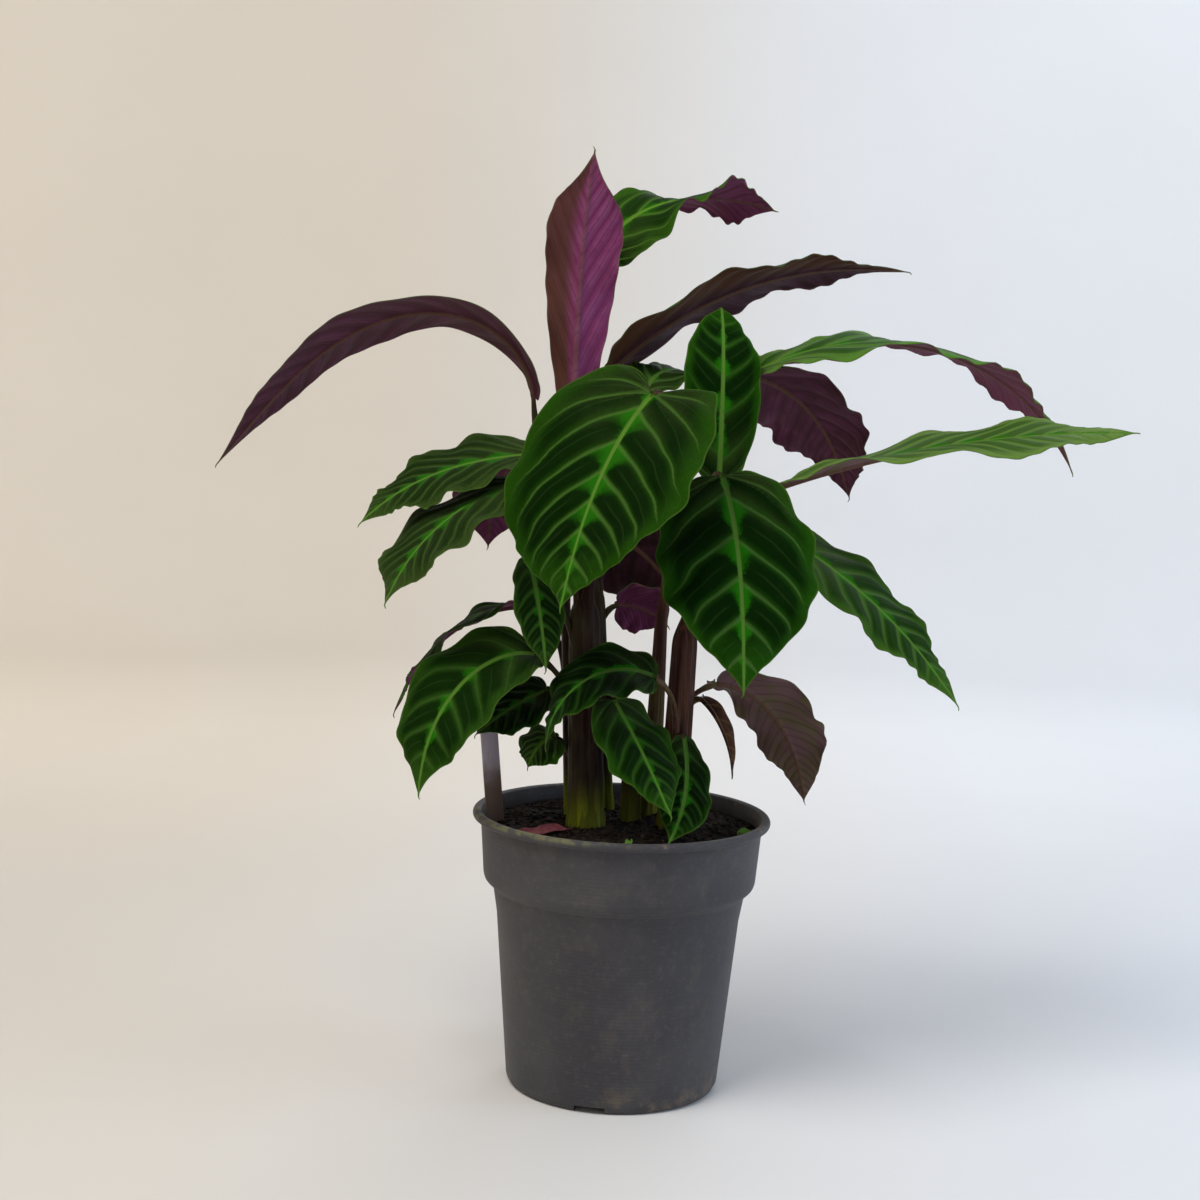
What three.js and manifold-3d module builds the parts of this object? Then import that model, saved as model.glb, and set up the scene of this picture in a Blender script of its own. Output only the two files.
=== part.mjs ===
// A potted calathea: a leafy plant in a 19 cm grower's pot.
// Millimetres, +Z up. The origin is the centre of the pot's underside, +X points to the
// viewer's right and +Y away from the viewer.
import * as THREE from 'three';
import { mergeVertices } from 'three/addons/utils/BufferGeometryUtils.js';
import Module from 'manifold-3d';

const wasm = await Module();
wasm.setup();

// ---------------------------------------------------------------- pot, soil and label
const GAP = 0.3; // clearance between pieces that touch

const POT_SIDES = 40;
const POT_HEIGHT = 176;
const RIM_RADIUS = 95; // outside of the rolled lip
const FOOT_RADIUS = 66.5;
const SHOULDER_Z = 127; // top of the plain tapered body
const SHOULDER_RADIUS = 80.4;
const COLLAR_Z = 135; // foot of the stepped collar
const COLLAR_RADIUS = 86.8;
const WALL = 1.6;
const FLOOR_Z = 7; // inside of the base
const PAD_RADIUS = 40; // flat middle of the underside
const RECESS = 1.5; // ring round that pad, raised off the ground
const NOTCH_COUNT = 4; // drain notches through the foot
const NOTCH_WIDTH = 21;
const NOTCH_HEIGHT = 4.5;
const NOTCH_DEPTH = 16;
const NOTCH_TURN = -101; // degrees from +X to the notch at the front

const SOIL_EDGE_Z = 166;
const SOIL_CROWN = 4; // rise of the soil from the wall to the middle
const SOIL_BUMP = 1.8;
const SOIL_RINGS = [1, 0.86, 0.68, 0.48, 0.26]; // rings of the surface, in radii
const SOIL_SEED = 19;
const HOLE_DEPTH = 24; // how deep the shoots stand in the soil

const LABEL_WIDTH = 12.5;
const LABEL_THICKNESS = 0.8;
const LABEL_LENGTH = 113;
const LABEL_POINT = 16; // length of its pointed end
const LABEL_SUNK = 40;
const LABEL_AT = [-80, -2];
const LABEL_LEAN = -6; // degrees, to the left
const LABEL_TURN = 35;

// ---------------------------------------------------------------- shoots
// Where each shoot stands in the soil, where its bundle of stalks parts, and its radius
// at both places.
const SHOOTS = {
  front: { foot: [-22, -13], fork: [-29, -10, 320], radius: [15, 12] },
  left: { foot: [-30, 17], fork: [-39, 14, 300], radius: [8, 6] },
  centre: { foot: [6, 2], fork: [4, 8, 235], radius: [9, 6] },
  right: { foot: [32, -6], fork: [36, -4, 305], radius: [12, 10] },
  back_right: { foot: [17, 24], fork: [20, 18, 315], radius: [7, 4] },
  back: { foot: [-13, 38], fork: [-24, 40, 325], radius: [10, 8] },
};
const SHOOT_SIDES = 12;
const SHOOT_STEPS = 4;
const STALK_SIDES = 6;
const STALK_STEPS = 9;
const STALK_RADIUS = { long: 4.4, short: 3.2 }; // where a stalk parts from the bundle
const STALK_RUN_IN = 40; // longest straight run of a stalk into its blade
const BIG_LEAF = 130; // length from which a leaf counts as big

// ---------------------------------------------------------------- leaves
const BLADE_THICKNESS = 0.9;
const MARGIN_THICKNESS = 0.7;
const RIB_DEPTH = 2.6; // how far the midrib stands out of the underside at the neck
const BLADE_ROWS = { long: 18, short: 12 };
const BLADE_COLUMNS = [-1, -0.5, 0, 0.5, 1]; // across a blade, margin to margin
const MIDRIB_STEPS = 60;
const ARCH_BEND = 0.5; // below this bend a blade arches over at once, then runs straight
const LOBE = 0.25; // how far a blade's base reaches back beside the neck, in widths
const CROWN = 0.12; // how far the margins droop below the halves, in half widths
const TIP_POWER = 1.25; // above 1 draws the tip out to a point
const WAVES = 3.5; // waves along a margin
const WAVE_SHIFT = 2; // how far the left margin's waves lag the right one's, in radians
const WAVE_TURN = 1.7; // how far each leaf's waves are shifted from the last one's
const WAVE_FADE = 20; // half width below which the waves die away

// Each leaf: the shoot it grows from, its neck (where stalk meets blade), the compass
// heading of its midrib (0 = +X, 90 = +Y) and how far that turns along it (sweep), the
// midrib's slope at the neck and at the tip and how it passes from one to the other
// (bend), length, width, where it is widest (0 = neck, 1 = tip), the blade's roll and the
// fold of its halves at the neck and at the tip, the height of its waves and, where it isn't
// LOBE, how far its base reaches back (lobe). Degrees.
const LEAVES = [
  { name: 'leaf_far_left', shoot: 'left', neck: [-65, 15, 435], heading: 180, sweep: -10,
    slope: [86, -51], bend: 0.42, length: 273, width: 66, widest: 0.45,
    roll: [-18, -14], fold: [4, 8], wave: 1.2 },
  { name: 'leaf_upright_purple', shoot: 'back', neck: [-40, 10, 412], heading: -65, sweep: 0,
    slope: [93, 74], bend: 1.3, length: 178, width: 50, widest: 0.7,
    roll: [25, 25], fold: [55, 0], wave: 2 },
  { name: 'leaf_high_back', shoot: 'back', neck: [-29, 46, 527], heading: 20, sweep: -20,
    slope: [80, -20], bend: 0.6, length: 132, width: 66, widest: 0.52,
    roll: [-80, 60], fold: [6, 0], wave: 4 },
  { name: 'leaf_high_right', shoot: 'back', neck: [-22, 37, 453], heading: 18, sweep: -2,
    slope: [45, -5], bend: 1, length: 228, width: 60, widest: 0.4,
    roll: [34, 20], fold: [12, 0], wave: 3 },
  { name: 'leaf_upright_green', shoot: 'right', neck: [52, -8, 389], heading: 92, sweep: 0,
    slope: [93, 12], bend: 2, length: 130, width: 50, widest: 0.5,
    roll: [-10, -10], fold: [9, 0], wave: 2 },
  { name: 'leaf_front_centre', shoot: 'front', neck: [8, -58, 441], heading: -132, sweep: 19,
    slope: [-36, -68], bend: 0.7, length: 152, width: 138, widest: 0.52,
    roll: [19, -30], fold: [14, 0], wave: 2, lobe: 0.45 },
  { name: 'leaf_front_right', shoot: 'right', neck: [52, -50, 394], heading: -76, sweep: -9,
    slope: [-31, -76], bend: 0.8, length: 148, width: 95, widest: 0.48,
    roll: [-8, 8], fold: [2, 2], wave: 2.5 },
  { name: 'leaf_upper_right', shoot: 'right', neck: [72, 18, 458], heading: 4, sweep: 6,
    slope: [27, -66], bend: 1.2, length: 246, width: 68, widest: 0.38,
    roll: [-21, 20], fold: [8, 0], wave: 3.5 },
  { name: 'leaf_back_right', shoot: 'back_right', neck: [66, 44, 456], heading: 38, sweep: 2,
    slope: [0, -72], bend: 0.9, length: 139, width: 75, widest: 0.58,
    roll: [40, -8], fold: [-6, 0], wave: 3 },
  { name: 'leaf_right_long', shoot: 'right', neck: [89, -13, 388], heading: -7, sweep: -2,
    slope: [21, 1], bend: 1, length: 218, width: 67, widest: 0.56,
    roll: [4, -28], fold: [16, 1], wave: 3 },
  { name: 'leaf_right_low', shoot: 'right', neck: [97, -16, 355], heading: 4, sweep: -30,
    slope: [-29, -54], bend: 1, length: 148, width: 70, widest: 0.35,
    roll: [-25, -16], fold: [10, 0], wave: 3 },
  { name: 'leaf_low_right', shoot: 'back_right', neck: [58, 37, 256], heading: 30, sweep: 5,
    slope: [2, -80], bend: 0.65, length: 122, width: 58, widest: 0.5,
    roll: [27, 27], fold: [25, 8], wave: 3 },
  { name: 'leaf_left_upper', shoot: 'left', neck: [-66, -8, 401], heading: 174, sweep: 24,
    slope: [-7, -48], bend: 1.4, length: 118, width: 72, widest: 0.38,
    roll: [22, 25], fold: [12, -2], wave: 3 },
  { name: 'leaf_left_middle', shoot: 'front', neck: [-68, -26, 386], heading: -172, sweep: 40,
    slope: [-19, -64], bend: 1.1, length: 121, width: 80, widest: 0.55,
    roll: [17, -8], fold: [2, 8], wave: 3 },
  { name: 'leaf_back_left', shoot: 'left', neck: [-62, 40, 408], heading: 150, sweep: -50,
    slope: [-10, -84], bend: 0.7, length: 96, width: 66, widest: 0.5,
    roll: [0, 0], fold: [0, 0], wave: 3 },
  { name: 'leaf_small_hanging', shoot: 'front', neck: [-63, -26, 337], heading: -65, sweep: 4,
    slope: [-54, -76], bend: 1, length: 72, width: 34, widest: 0.48,
    roll: [5, 0], fold: [12, 4], wave: 2 },
  { name: 'leaf_left_edge', shoot: 'left', neck: [-65, 23, 303], heading: -165, sweep: -8,
    slope: [9, -74], bend: 0.7, length: 120, width: 60, widest: 0.5,
    roll: [0, -14], fold: [12, -4], wave: 3 },
  { name: 'leaf_left_low', shoot: 'front', neck: [-56, -31, 278], heading: -153, sweep: 14,
    slope: [22, -90], bend: 0.65, length: 130, width: 62, widest: 0.5,
    roll: [35, 20], fold: [14, 0], wave: 3 },
  { name: 'leaf_left_inner', shoot: 'front', neck: [-50, -13, 254], heading: -158, sweep: 4,
    slope: [-19, -40], bend: 0.9, length: 54, width: 52, widest: 0.5,
    roll: [25, 8], fold: [10, -4], wave: 2 },
  { name: 'leaf_low_centre', shoot: 'right', neck: [17, -40, 269], heading: -160, sweep: 2,
    slope: [26, -89], bend: 1, length: 97, width: 56, widest: 0.5,
    roll: [45, -16], fold: [10, 0], wave: 2 },
  { name: 'leaf_small_round', shoot: 'front', neck: [-44, -10, 224], heading: -155, sweep: -5,
    slope: [0, -80], bend: 0.7, length: 28, width: 46, widest: 0.55,
    roll: [20, 10], fold: [5, 0], wave: 1 },
  { name: 'leaf_low_front', shoot: 'front', neck: [-7, -38, 253], heading: -50, sweep: 2,
    slope: [-42, -54], bend: 1, length: 84, width: 60, widest: 0.42,
    roll: [5, 0], fold: [4, 0], wave: 2 },
  { name: 'leaf_low_front_behind', shoot: 'right', neck: [37, -20, 229], heading: -75,
    sweep: -45, slope: [-48, -38], bend: 1, length: 81, width: 34, widest: 0.55,
    roll: [20, 25], fold: [5, 0], wave: 2 },
  { name: 'leaf_withered', shoot: 'right', neck: [48, 1, 251], heading: -43, sweep: 11,
    slope: [-20, -88], bend: 0.7, length: 56, width: 14, widest: 0.3,
    roll: [0, 0], fold: [35, 35], wave: 1 },
  { name: 'leaf_back_centre_low', shoot: 'back', neck: [-8, 45, 304], heading: 12,
    sweep: 0, slope: [5, -45], bend: 0.8, length: 38, width: 38, widest: 0.45,
    roll: [65, 60], fold: [0, 0], wave: 2 },
  { name: 'leaf_back_centre', shoot: 'back', neck: [-16, 62, 350], heading: 15, sweep: 0,
    slope: [-20, -60], bend: 0.8, length: 72, width: 76, widest: 0.45,
    roll: [62, 45], fold: [0, 0], wave: 2 },
  { name: 'leaf_high_small', shoot: 'back', neck: [4, 30, 443], heading: 55, sweep: -20,
    slope: [60, -56], bend: 0.8, length: 78, width: 46, widest: 0.45,
    roll: [-20, 0], fold: [10, 0], wave: 2 },
];
LEAVES.forEach((leaf, order) => {
  leaf.order = order;
});

// ---------------------------------------------------------------- helpers
const rad = THREE.MathUtils.degToRad;
const mix = THREE.MathUtils.lerp;
const clamp = THREE.MathUtils.clamp;
const group = new THREE.Group();

function add(name, geometry, color, roughness) {
  const material = new THREE.MeshStandardMaterial({ color, roughness, metalness: 0 });
  const mesh = new THREE.Mesh(geometry, material);
  mesh.name = name;
  group.add(mesh);
}

// A closed geometry as a solid that can be joined and cut.
function solid(geometry) {
  const bare = new THREE.BufferGeometry();
  bare.setAttribute('position', geometry.getAttribute('position').clone());
  bare.setIndex(geometry.getIndex());
  const merged = mergeVertices(bare, 1e-4);
  const index = merged.getIndex().array;
  const triangles = [];
  for (let i = 0; i < index.length; i += 3) {
    const [a, b, c] = index.slice(i, i + 3);
    if (a !== b && b !== c && c !== a) triangles.push(a, b, c);
  }
  return new wasm.Manifold(new wasm.Mesh({
    numProp: 3,
    vertProperties: new Float32Array(merged.getAttribute('position').array),
    triVerts: new Uint32Array(triangles),
  }));
}

function geometryOf(manifold) {
  const mesh = manifold.getMesh();
  const geometry = new THREE.BufferGeometry();
  geometry.setAttribute('position', new THREE.BufferAttribute(mesh.vertProperties, 3));
  geometry.setIndex(new THREE.BufferAttribute(mesh.triVerts, 1));
  return geometry;
}

// A profile of [radius, z] points turned round the Z axis.
function lathe(profile, sides) {
  const points = profile.map(([radius, z]) => new THREE.Vector2(radius, z));
  return new THREE.LatheGeometry(points, sides).rotateX(Math.PI / 2);
}

// A tapered tube along a curve, closed at both ends.
function taperedTube(curve, radiusAt, steps, sides) {
  const rings = [];
  let side = new THREE.Vector3(1, 0, 0);
  for (let i = 0; i <= steps; i += 1) {
    const share = i / steps;
    const centre = curve.getPoint(share);
    const tangent = curve.getTangent(share);
    side = side.clone().addScaledVector(tangent, -side.dot(tangent)).normalize();
    const other = new THREE.Vector3().crossVectors(tangent, side);
    for (let k = 0; k < sides; k += 1) {
      const angle = (2 * Math.PI * k) / sides;
      const point = centre.clone().addScaledVector(side, radiusAt(share) * Math.cos(angle));
      rings.push(point.addScaledVector(other, radiusAt(share) * Math.sin(angle)));
    }
  }
  const index = [];
  for (let i = 0; i < steps; i += 1) {
    for (let k = 0; k < sides; k += 1) {
      const a = i * sides + k;
      const b = i * sides + ((k + 1) % sides);
      index.push(a, b, b + sides, a, b + sides, a + sides);
    }
  }
  const last = steps * sides;
  for (let k = 1; k < sides - 1; k += 1) {
    index.push(0, k + 1, k, last, last + k, last + k + 1);
  }
  const geometry = new THREE.BufferGeometry().setFromPoints(rings);
  geometry.setIndex(index);
  return geometry;
}

// ---------------------------------------------------------------- pot
// The wall's inside, from the base up to the lip, as [radius, z] points.
const INSIDE = [
  [FOOT_RADIUS - 2, FLOOR_Z],
  [FOOT_RADIUS - 0.6, FLOOR_Z + 1],
  [SHOULDER_RADIUS - WALL, SHOULDER_Z + 1],
  [COLLAR_RADIUS - WALL - 0.6, COLLAR_Z - 1.5],
  [COLLAR_RADIUS - WALL, COLLAR_Z + 1],
  [RIM_RADIUS - 7, POT_HEIGHT - 6],
];

function potGeometry() {
  const outside = [
    [0, 0], [PAD_RADIUS, 0], [PAD_RADIUS + 2, RECESS], [FOOT_RADIUS - 8, RECESS],
    [FOOT_RADIUS - 6, 0], [FOOT_RADIUS - 2, 0], [FOOT_RADIUS, 1.2], [FOOT_RADIUS + 1.5, 4],
    [SHOULDER_RADIUS - 2.9, SHOULDER_Z - 17], [SHOULDER_RADIUS, SHOULDER_Z],
    [COLLAR_RADIUS - 1, COLLAR_Z - 3], [COLLAR_RADIUS, COLLAR_Z],
    [RIM_RADIUS - 5.4, POT_HEIGHT - 5.5], [RIM_RADIUS - 0.8, POT_HEIGHT - 5],
    [RIM_RADIUS, POT_HEIGHT - 2.5], [RIM_RADIUS - 1, POT_HEIGHT - 0.5],
    [RIM_RADIUS - 2.5, POT_HEIGHT], [RIM_RADIUS - 5.6, POT_HEIGHT - 0.5],
  ];
  const profile = [...outside, ...[...INSIDE].reverse(), [0, FLOOR_Z]];
  let pot = solid(lathe(profile, POT_SIDES));
  for (let i = 0; i < NOTCH_COUNT; i += 1) {
    const notch = new THREE.BoxGeometry(NOTCH_DEPTH, NOTCH_WIDTH, NOTCH_HEIGHT * 2);
    notch.translate(FOOT_RADIUS, 0, 0).rotateZ(rad(NOTCH_TURN + (360 / NOTCH_COUNT) * i));
    pot = pot.subtract(solid(notch));
  }
  return geometryOf(pot);
}

// ---------------------------------------------------------------- label
function labelGeometry(grow) {
  const half = LABEL_WIDTH / 2 + grow;
  const outline = new THREE.Shape();
  outline.moveTo(0, -grow);
  outline.lineTo(half, LABEL_POINT);
  outline.lineTo(half, LABEL_LENGTH + grow);
  outline.lineTo(-half, LABEL_LENGTH + grow);
  outline.lineTo(-half, LABEL_POINT);
  const depth = LABEL_THICKNESS + 2 * grow;
  const label = new THREE.ExtrudeGeometry(outline, { depth, bevelEnabled: false, steps: 1 });
  label.translate(0, 0, -depth / 2).rotateX(Math.PI / 2).rotateZ(rad(LABEL_TURN));
  label.translate(0, 0, -LABEL_SUNK).rotateY(rad(LABEL_LEAN));
  return label.translate(...LABEL_AT, SOIL_EDGE_Z);
}

// ---------------------------------------------------------------- soil
function seededRandom(seed) {
  let state = seed;
  return () => {
    state = (state * 16807) % 2147483647;
    return state / 2147483647;
  };
}

function soilGeometry() {
  const random = seededRandom(SOIL_SEED);
  const [shoulder, lip] = [INSIDE[4], INSIDE[5]];
  const up = (SOIL_EDGE_Z - shoulder[1]) / (lip[1] - shoulder[1]);
  const edge = mix(shoulder[0], lip[0], up) - GAP;
  const below = INSIDE.slice(0, 5).map(([radius, z]) => [radius - GAP, z]);
  below[0] = [FOOT_RADIUS - 2.6, FLOOR_Z + GAP];
  below[1] = [FOOT_RADIUS - 0.6 - GAP, FLOOR_Z + 1 + GAP];
  const surface = [...SOIL_RINGS, 0].map((share) => (
    [edge * share, SOIL_EDGE_Z + SOIL_CROWN * (1 - share * share)]
  ));
  const body = geometryOf(solid(lathe([[0, FLOOR_Z + GAP], ...below, ...surface], POT_SIDES)));
  const position = body.getAttribute('position');
  for (let i = 0; i < position.count; i += 1) {
    const radius = Math.hypot(position.getX(i), position.getY(i));
    if (position.getZ(i) > SOIL_EDGE_Z && radius < edge - 1) {
      position.setZ(i, position.getZ(i) + SOIL_BUMP * (2 * random() - 1));
    }
  }
  let soil = solid(body);
  for (const shoot of Object.values(SHOOTS)) {
    const radius = shoot.radius[0] + GAP;
    const hole = new THREE.CylinderGeometry(radius, radius, HOLE_DEPTH * 2, SHOOT_SIDES);
    hole.rotateX(Math.PI / 2).translate(...shoot.foot, SOIL_EDGE_Z);
    soil = soil.subtract(solid(hole));
  }
  return geometryOf(soil.subtract(solid(labelGeometry(GAP))));
}

// ---------------------------------------------------------------- leaf blades
// The frame of a midrib at the share s of its length: t runs along it, side points to the
// right of it across the blade, and normal stands up out of the blade's upper face.
function midribFrame(leaf, s) {
  const turned = leaf.bend < ARCH_BEND ? 1 - (1 - s) ** (1 / leaf.bend) : s ** leaf.bend;
  const slope = rad(mix(leaf.slope[0], leaf.slope[1], turned));
  const heading = rad(leaf.heading + leaf.sweep * s);
  const roll = rad(mix(leaf.roll[0], leaf.roll[1], s));
  const t = new THREE.Vector3(
    Math.cos(slope) * Math.cos(heading),
    Math.cos(slope) * Math.sin(heading),
    Math.sin(slope),
  );
  const level = new THREE.Vector3(Math.sin(heading), -Math.cos(heading), 0);
  const up = new THREE.Vector3().crossVectors(level, t);
  const side = level.clone().multiplyScalar(Math.cos(roll)).addScaledVector(up, Math.sin(roll));
  const normal = up.multiplyScalar(Math.cos(roll)).addScaledVector(level, -Math.sin(roll));
  return { t, side, normal };
}

function midribPoints(leaf) {
  const points = [new THREE.Vector3(...leaf.neck)];
  for (let i = 0; i < MIDRIB_STEPS; i += 1) {
    const { t } = midribFrame(leaf, (i + 0.5) / MIDRIB_STEPS);
    points.push(points[i].clone().addScaledVector(t, leaf.length / MIDRIB_STEPS));
  }
  return points;
}

function midribPoint(points, s) {
  const place = s * MIDRIB_STEPS;
  const below = Math.min(Math.floor(place), MIDRIB_STEPS - 1);
  return points[below].clone().lerp(points[below + 1], place - below);
}

function neckRadius(leaf) {
  return 1.3 + leaf.length * 0.0045;
}

// Half the width of a blade at s: an ellipse from the neck to where it is widest, then a
// curve that draws in to the tip.
function halfWidth(leaf, s) {
  const { widest } = leaf;
  const share = s < widest
    ? Math.sqrt(1 - ((widest - s) / widest) ** 2)
    : (1 - ((s - widest) / (1 - widest)) ** 2) ** TIP_POWER;
  return Math.max(mix(neckRadius(leaf), 0.8, s), (leaf.width / 2) * share);
}

// A point of the upper face at s along the blade and v across it (-1 to 1).
function bladePoint(leaf, points, s, v) {
  const { t, side, normal } = midribFrame(leaf, s);
  const half = halfWidth(leaf, s);
  const fold = rad(mix(leaf.fold[0], leaf.fold[1], s));
  const across = Math.abs(v);
  const phase = leaf.order * WAVE_TURN + (v > 0 ? 0 : WAVE_SHIFT);
  const ripple = Math.sin(2 * Math.PI * WAVES * s + phase) * Math.min(1, half / WAVE_FADE);
  const lift = half * (across * Math.sin(fold) - CROWN * v * v) + leaf.wave * ripple * v * v;
  const lobe = leaf.lobe ?? LOBE;
  const back = s > 0 ? lobe * 2 * half * across * (1 - s) ** 4 : 0;
  return midribPoint(points, s)
    .addScaledVector(t, -back)
    .addScaledVector(side, v * half * Math.cos(fold))
    .addScaledVector(normal, lift);
}

function bladeNormal(leaf, points, s, v) {
  const ds = 0.01;
  const dv = 0.1;
  const along = bladePoint(leaf, points, clamp(s + ds, 0, 1), v)
    .sub(bladePoint(leaf, points, clamp(s - ds, 0, 1), v));
  const across = bladePoint(leaf, points, s, clamp(v + dv, -1, 1))
    .sub(bladePoint(leaf, points, s, clamp(v - dv, -1, 1)));
  return across.cross(along).normalize();
}

function bladeThickness(s, v) {
  if (s === 0) return BLADE_THICKNESS + RIB_DEPTH * (1 - Math.abs(v) / 2);
  const rib = v === 0 ? RIB_DEPTH * (1 - s) ** 0.8 : 0;
  return mix(BLADE_THICKNESS, MARGIN_THICKNESS, Math.abs(v)) + rib;
}

// The closed blade: both faces are split into the same triangles, so they keep their
// distance where the blade waves.
function bladeGeometry(leaf) {
  const rows = leaf.length > BIG_LEAF ? BLADE_ROWS.long : BLADE_ROWS.short;
  const wide = BLADE_COLUMNS.length;
  const points = midribPoints(leaf);
  const upper = [];
  const under = [];
  for (let i = 0; i <= rows; i += 1) {
    const even = i / rows;
    const s = mix(even, (1 - Math.cos(Math.PI * even)) / 2, 0.5);
    for (const v of BLADE_COLUMNS) {
      const point = bladePoint(leaf, points, s, v);
      const out = i === 0 ? midribFrame(leaf, 0).normal : bladeNormal(leaf, points, s, v);
      upper.push(point);
      under.push(point.clone().addScaledVector(out, -bladeThickness(s, v)));
    }
  }
  const index = [];
  const quad = (a, b, c, d, swap) => {
    if (swap) index.push(a, b, d, b, c, d);
    else index.push(a, b, c, a, c, d);
  };
  const count = upper.length;
  for (let i = 0; i < rows; i += 1) {
    for (let j = 0; j < wide - 1; j += 1) {
      const a = i * wide + j;
      const b = a + wide;
      const leftHalf = j < (wide - 1) / 2;
      quad(a, a + 1, b + 1, b, leftHalf);
      quad(count + b, count + b + 1, count + a + 1, count + a, !leftHalf);
    }
  }
  for (let i = 0; i < rows; i += 1) {
    const left = i * wide;
    const right = left + wide - 1;
    quad(left, left + wide, count + left + wide, count + left, false);
    quad(right + wide, right, count + right, count + right + wide, false);
  }
  for (let j = 0; j < wide - 1; j += 1) {
    const tip = rows * wide + j;
    quad(j + 1, j, count + j, count + j + 1, false);
    quad(tip, tip + 1, count + tip + 1, count + tip, false);
  }
  const geometry = new THREE.BufferGeometry().setFromPoints([...upper, ...under]);
  geometry.setIndex(index);
  return geometry;
}

// ---------------------------------------------------------------- shoots and stalks
function bundlePoint(shoot, share) {
  return new THREE.Vector3(...shoot.foot, SOIL_EDGE_Z)
    .lerp(new THREE.Vector3(...shoot.fork), share);
}

// A stalk parts from its shoot's bundle, high up for a tall leaf and low down for a low
// one, and comes into its blade along the midrib.
function stalkCurve(leaf) {
  const shoot = SHOOTS[leaf.shoot];
  const [x, y, z] = leaf.neck;
  const share = clamp((z - 70 - SOIL_EDGE_Z) / (shoot.fork[2] - SOIL_EDGE_Z), 0.1, 0.88);
  const start = bundlePoint(shoot, share);
  const spread = mix(shoot.radius[0], shoot.radius[1], share) * 0.4;
  const turn = Math.atan2(y - start.y, x - start.x);
  start.x += spread * Math.cos(turn);
  start.y += spread * Math.sin(turn);
  const { t, normal } = midribFrame(leaf, 0);
  const end = new THREE.Vector3(x, y, z).addScaledVector(t, -GAP).addScaledVector(normal, -1.4);
  const reach = end.distanceTo(start);
  const axis = bundlePoint(shoot, 1).sub(bundlePoint(shoot, 0)).normalize();
  const rising = start.clone().addScaledVector(axis, reach * 0.5);
  const arriving = end.clone().addScaledVector(t, -Math.min(STALK_RUN_IN, reach * 0.3));
  return new THREE.CubicBezierCurve3(start, rising, arriving, end);
}

function shootGeometry(name) {
  const shoot = SHOOTS[name];
  const [wide, narrow] = shoot.radius;
  const foot = SOIL_EDGE_Z - HOLE_DEPTH + GAP;
  const ground = SOIL_EDGE_Z + SOIL_CROWN + SOIL_BUMP;
  const swelling = lathe([
    [0, foot], [wide, foot], [wide, ground + 2], [wide * 0.8, ground + 14], [0, ground + 18],
  ], SHOOT_SIDES);
  let body = solid(swelling.translate(...shoot.foot, 0));
  const axis = new THREE.LineCurve3(bundlePoint(shoot, 0), bundlePoint(shoot, 1));
  const bundleRadius = (u) => (u > 0.95 ? narrow * 0.6 : mix(wide * 0.96, narrow, u));
  body = body.add(solid(taperedTube(axis, bundleRadius, SHOOT_STEPS, SHOOT_SIDES)));
  for (const leaf of LEAVES.filter((each) => each.shoot === name)) {
    const thick = leaf.length > BIG_LEAF ? STALK_RADIUS.long : STALK_RADIUS.short;
    const stalkRadius = (u) => mix(neckRadius(leaf), thick, (1 - u) ** 1.2);
    const stalk = taperedTube(stalkCurve(leaf), stalkRadius, STALK_STEPS, STALK_SIDES);
    body = body.add(solid(stalk));
  }
  return geometryOf(body);
}

// ---------------------------------------------------------------- the whole plant
add('pot', potGeometry(), 0x3a3b40, 0.6);
add('soil', soilGeometry(), 0x2a211c, 0.95);
add('label_stake', labelGeometry(0), 0xb9b3bd, 0.5);
for (const name of Object.keys(SHOOTS)) {
  add(`shoot_${name}`, shootGeometry(name), 0x4a3426, 0.5);
}
for (const leaf of LEAVES) {
  add(leaf.name, bladeGeometry(leaf), 0x24491f, 0.5);
}

export default group;
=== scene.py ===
"""A potted calathea, dressed piece by piece around its packed construction model."""

import math

import bpy
import numpy as np
from bpy.props import FloatProperty, FloatVectorProperty, IntProperty, PointerProperty
from mathutils import Matrix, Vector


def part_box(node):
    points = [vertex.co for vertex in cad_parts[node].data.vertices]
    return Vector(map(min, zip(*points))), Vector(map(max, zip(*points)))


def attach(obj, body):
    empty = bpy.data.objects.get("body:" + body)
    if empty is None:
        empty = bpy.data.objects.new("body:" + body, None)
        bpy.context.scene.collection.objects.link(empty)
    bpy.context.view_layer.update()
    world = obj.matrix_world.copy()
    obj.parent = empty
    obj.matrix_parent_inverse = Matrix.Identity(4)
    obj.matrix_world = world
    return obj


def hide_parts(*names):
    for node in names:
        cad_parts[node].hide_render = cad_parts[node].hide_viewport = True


bl_info = {
    "name": "Potted Calathea",
    "version": (1, 0, 0),
    "blender": (4, 5, 0),
    "location": "View3D > Sidebar > Calathea",
    "description": "Builds a potted calathea with waved, veined leaves",
    "category": "Add Mesh",
}

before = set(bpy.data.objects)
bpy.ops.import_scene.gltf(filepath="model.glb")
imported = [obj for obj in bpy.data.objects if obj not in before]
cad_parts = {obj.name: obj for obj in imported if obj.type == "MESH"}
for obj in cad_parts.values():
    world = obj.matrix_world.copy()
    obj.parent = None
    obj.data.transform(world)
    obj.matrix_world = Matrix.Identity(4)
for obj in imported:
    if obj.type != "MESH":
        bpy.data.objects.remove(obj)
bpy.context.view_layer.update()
POT_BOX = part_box("pot")

MM = 0.001
ROOT = "root"

# ---- the camera's place
CAMERA_AT = (0.0, -1250.0, 442.5)  # millimetres
CAMERA_PITCH = 6.02  # degrees below the horizon
CAMERA_YAW = -0.88
CAMERA_ROLL = 2.27
SENSOR = 36.0  # millimetres
FOCAL_LENGTH = SENSOR * 1992.0 / 1200.0

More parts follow.
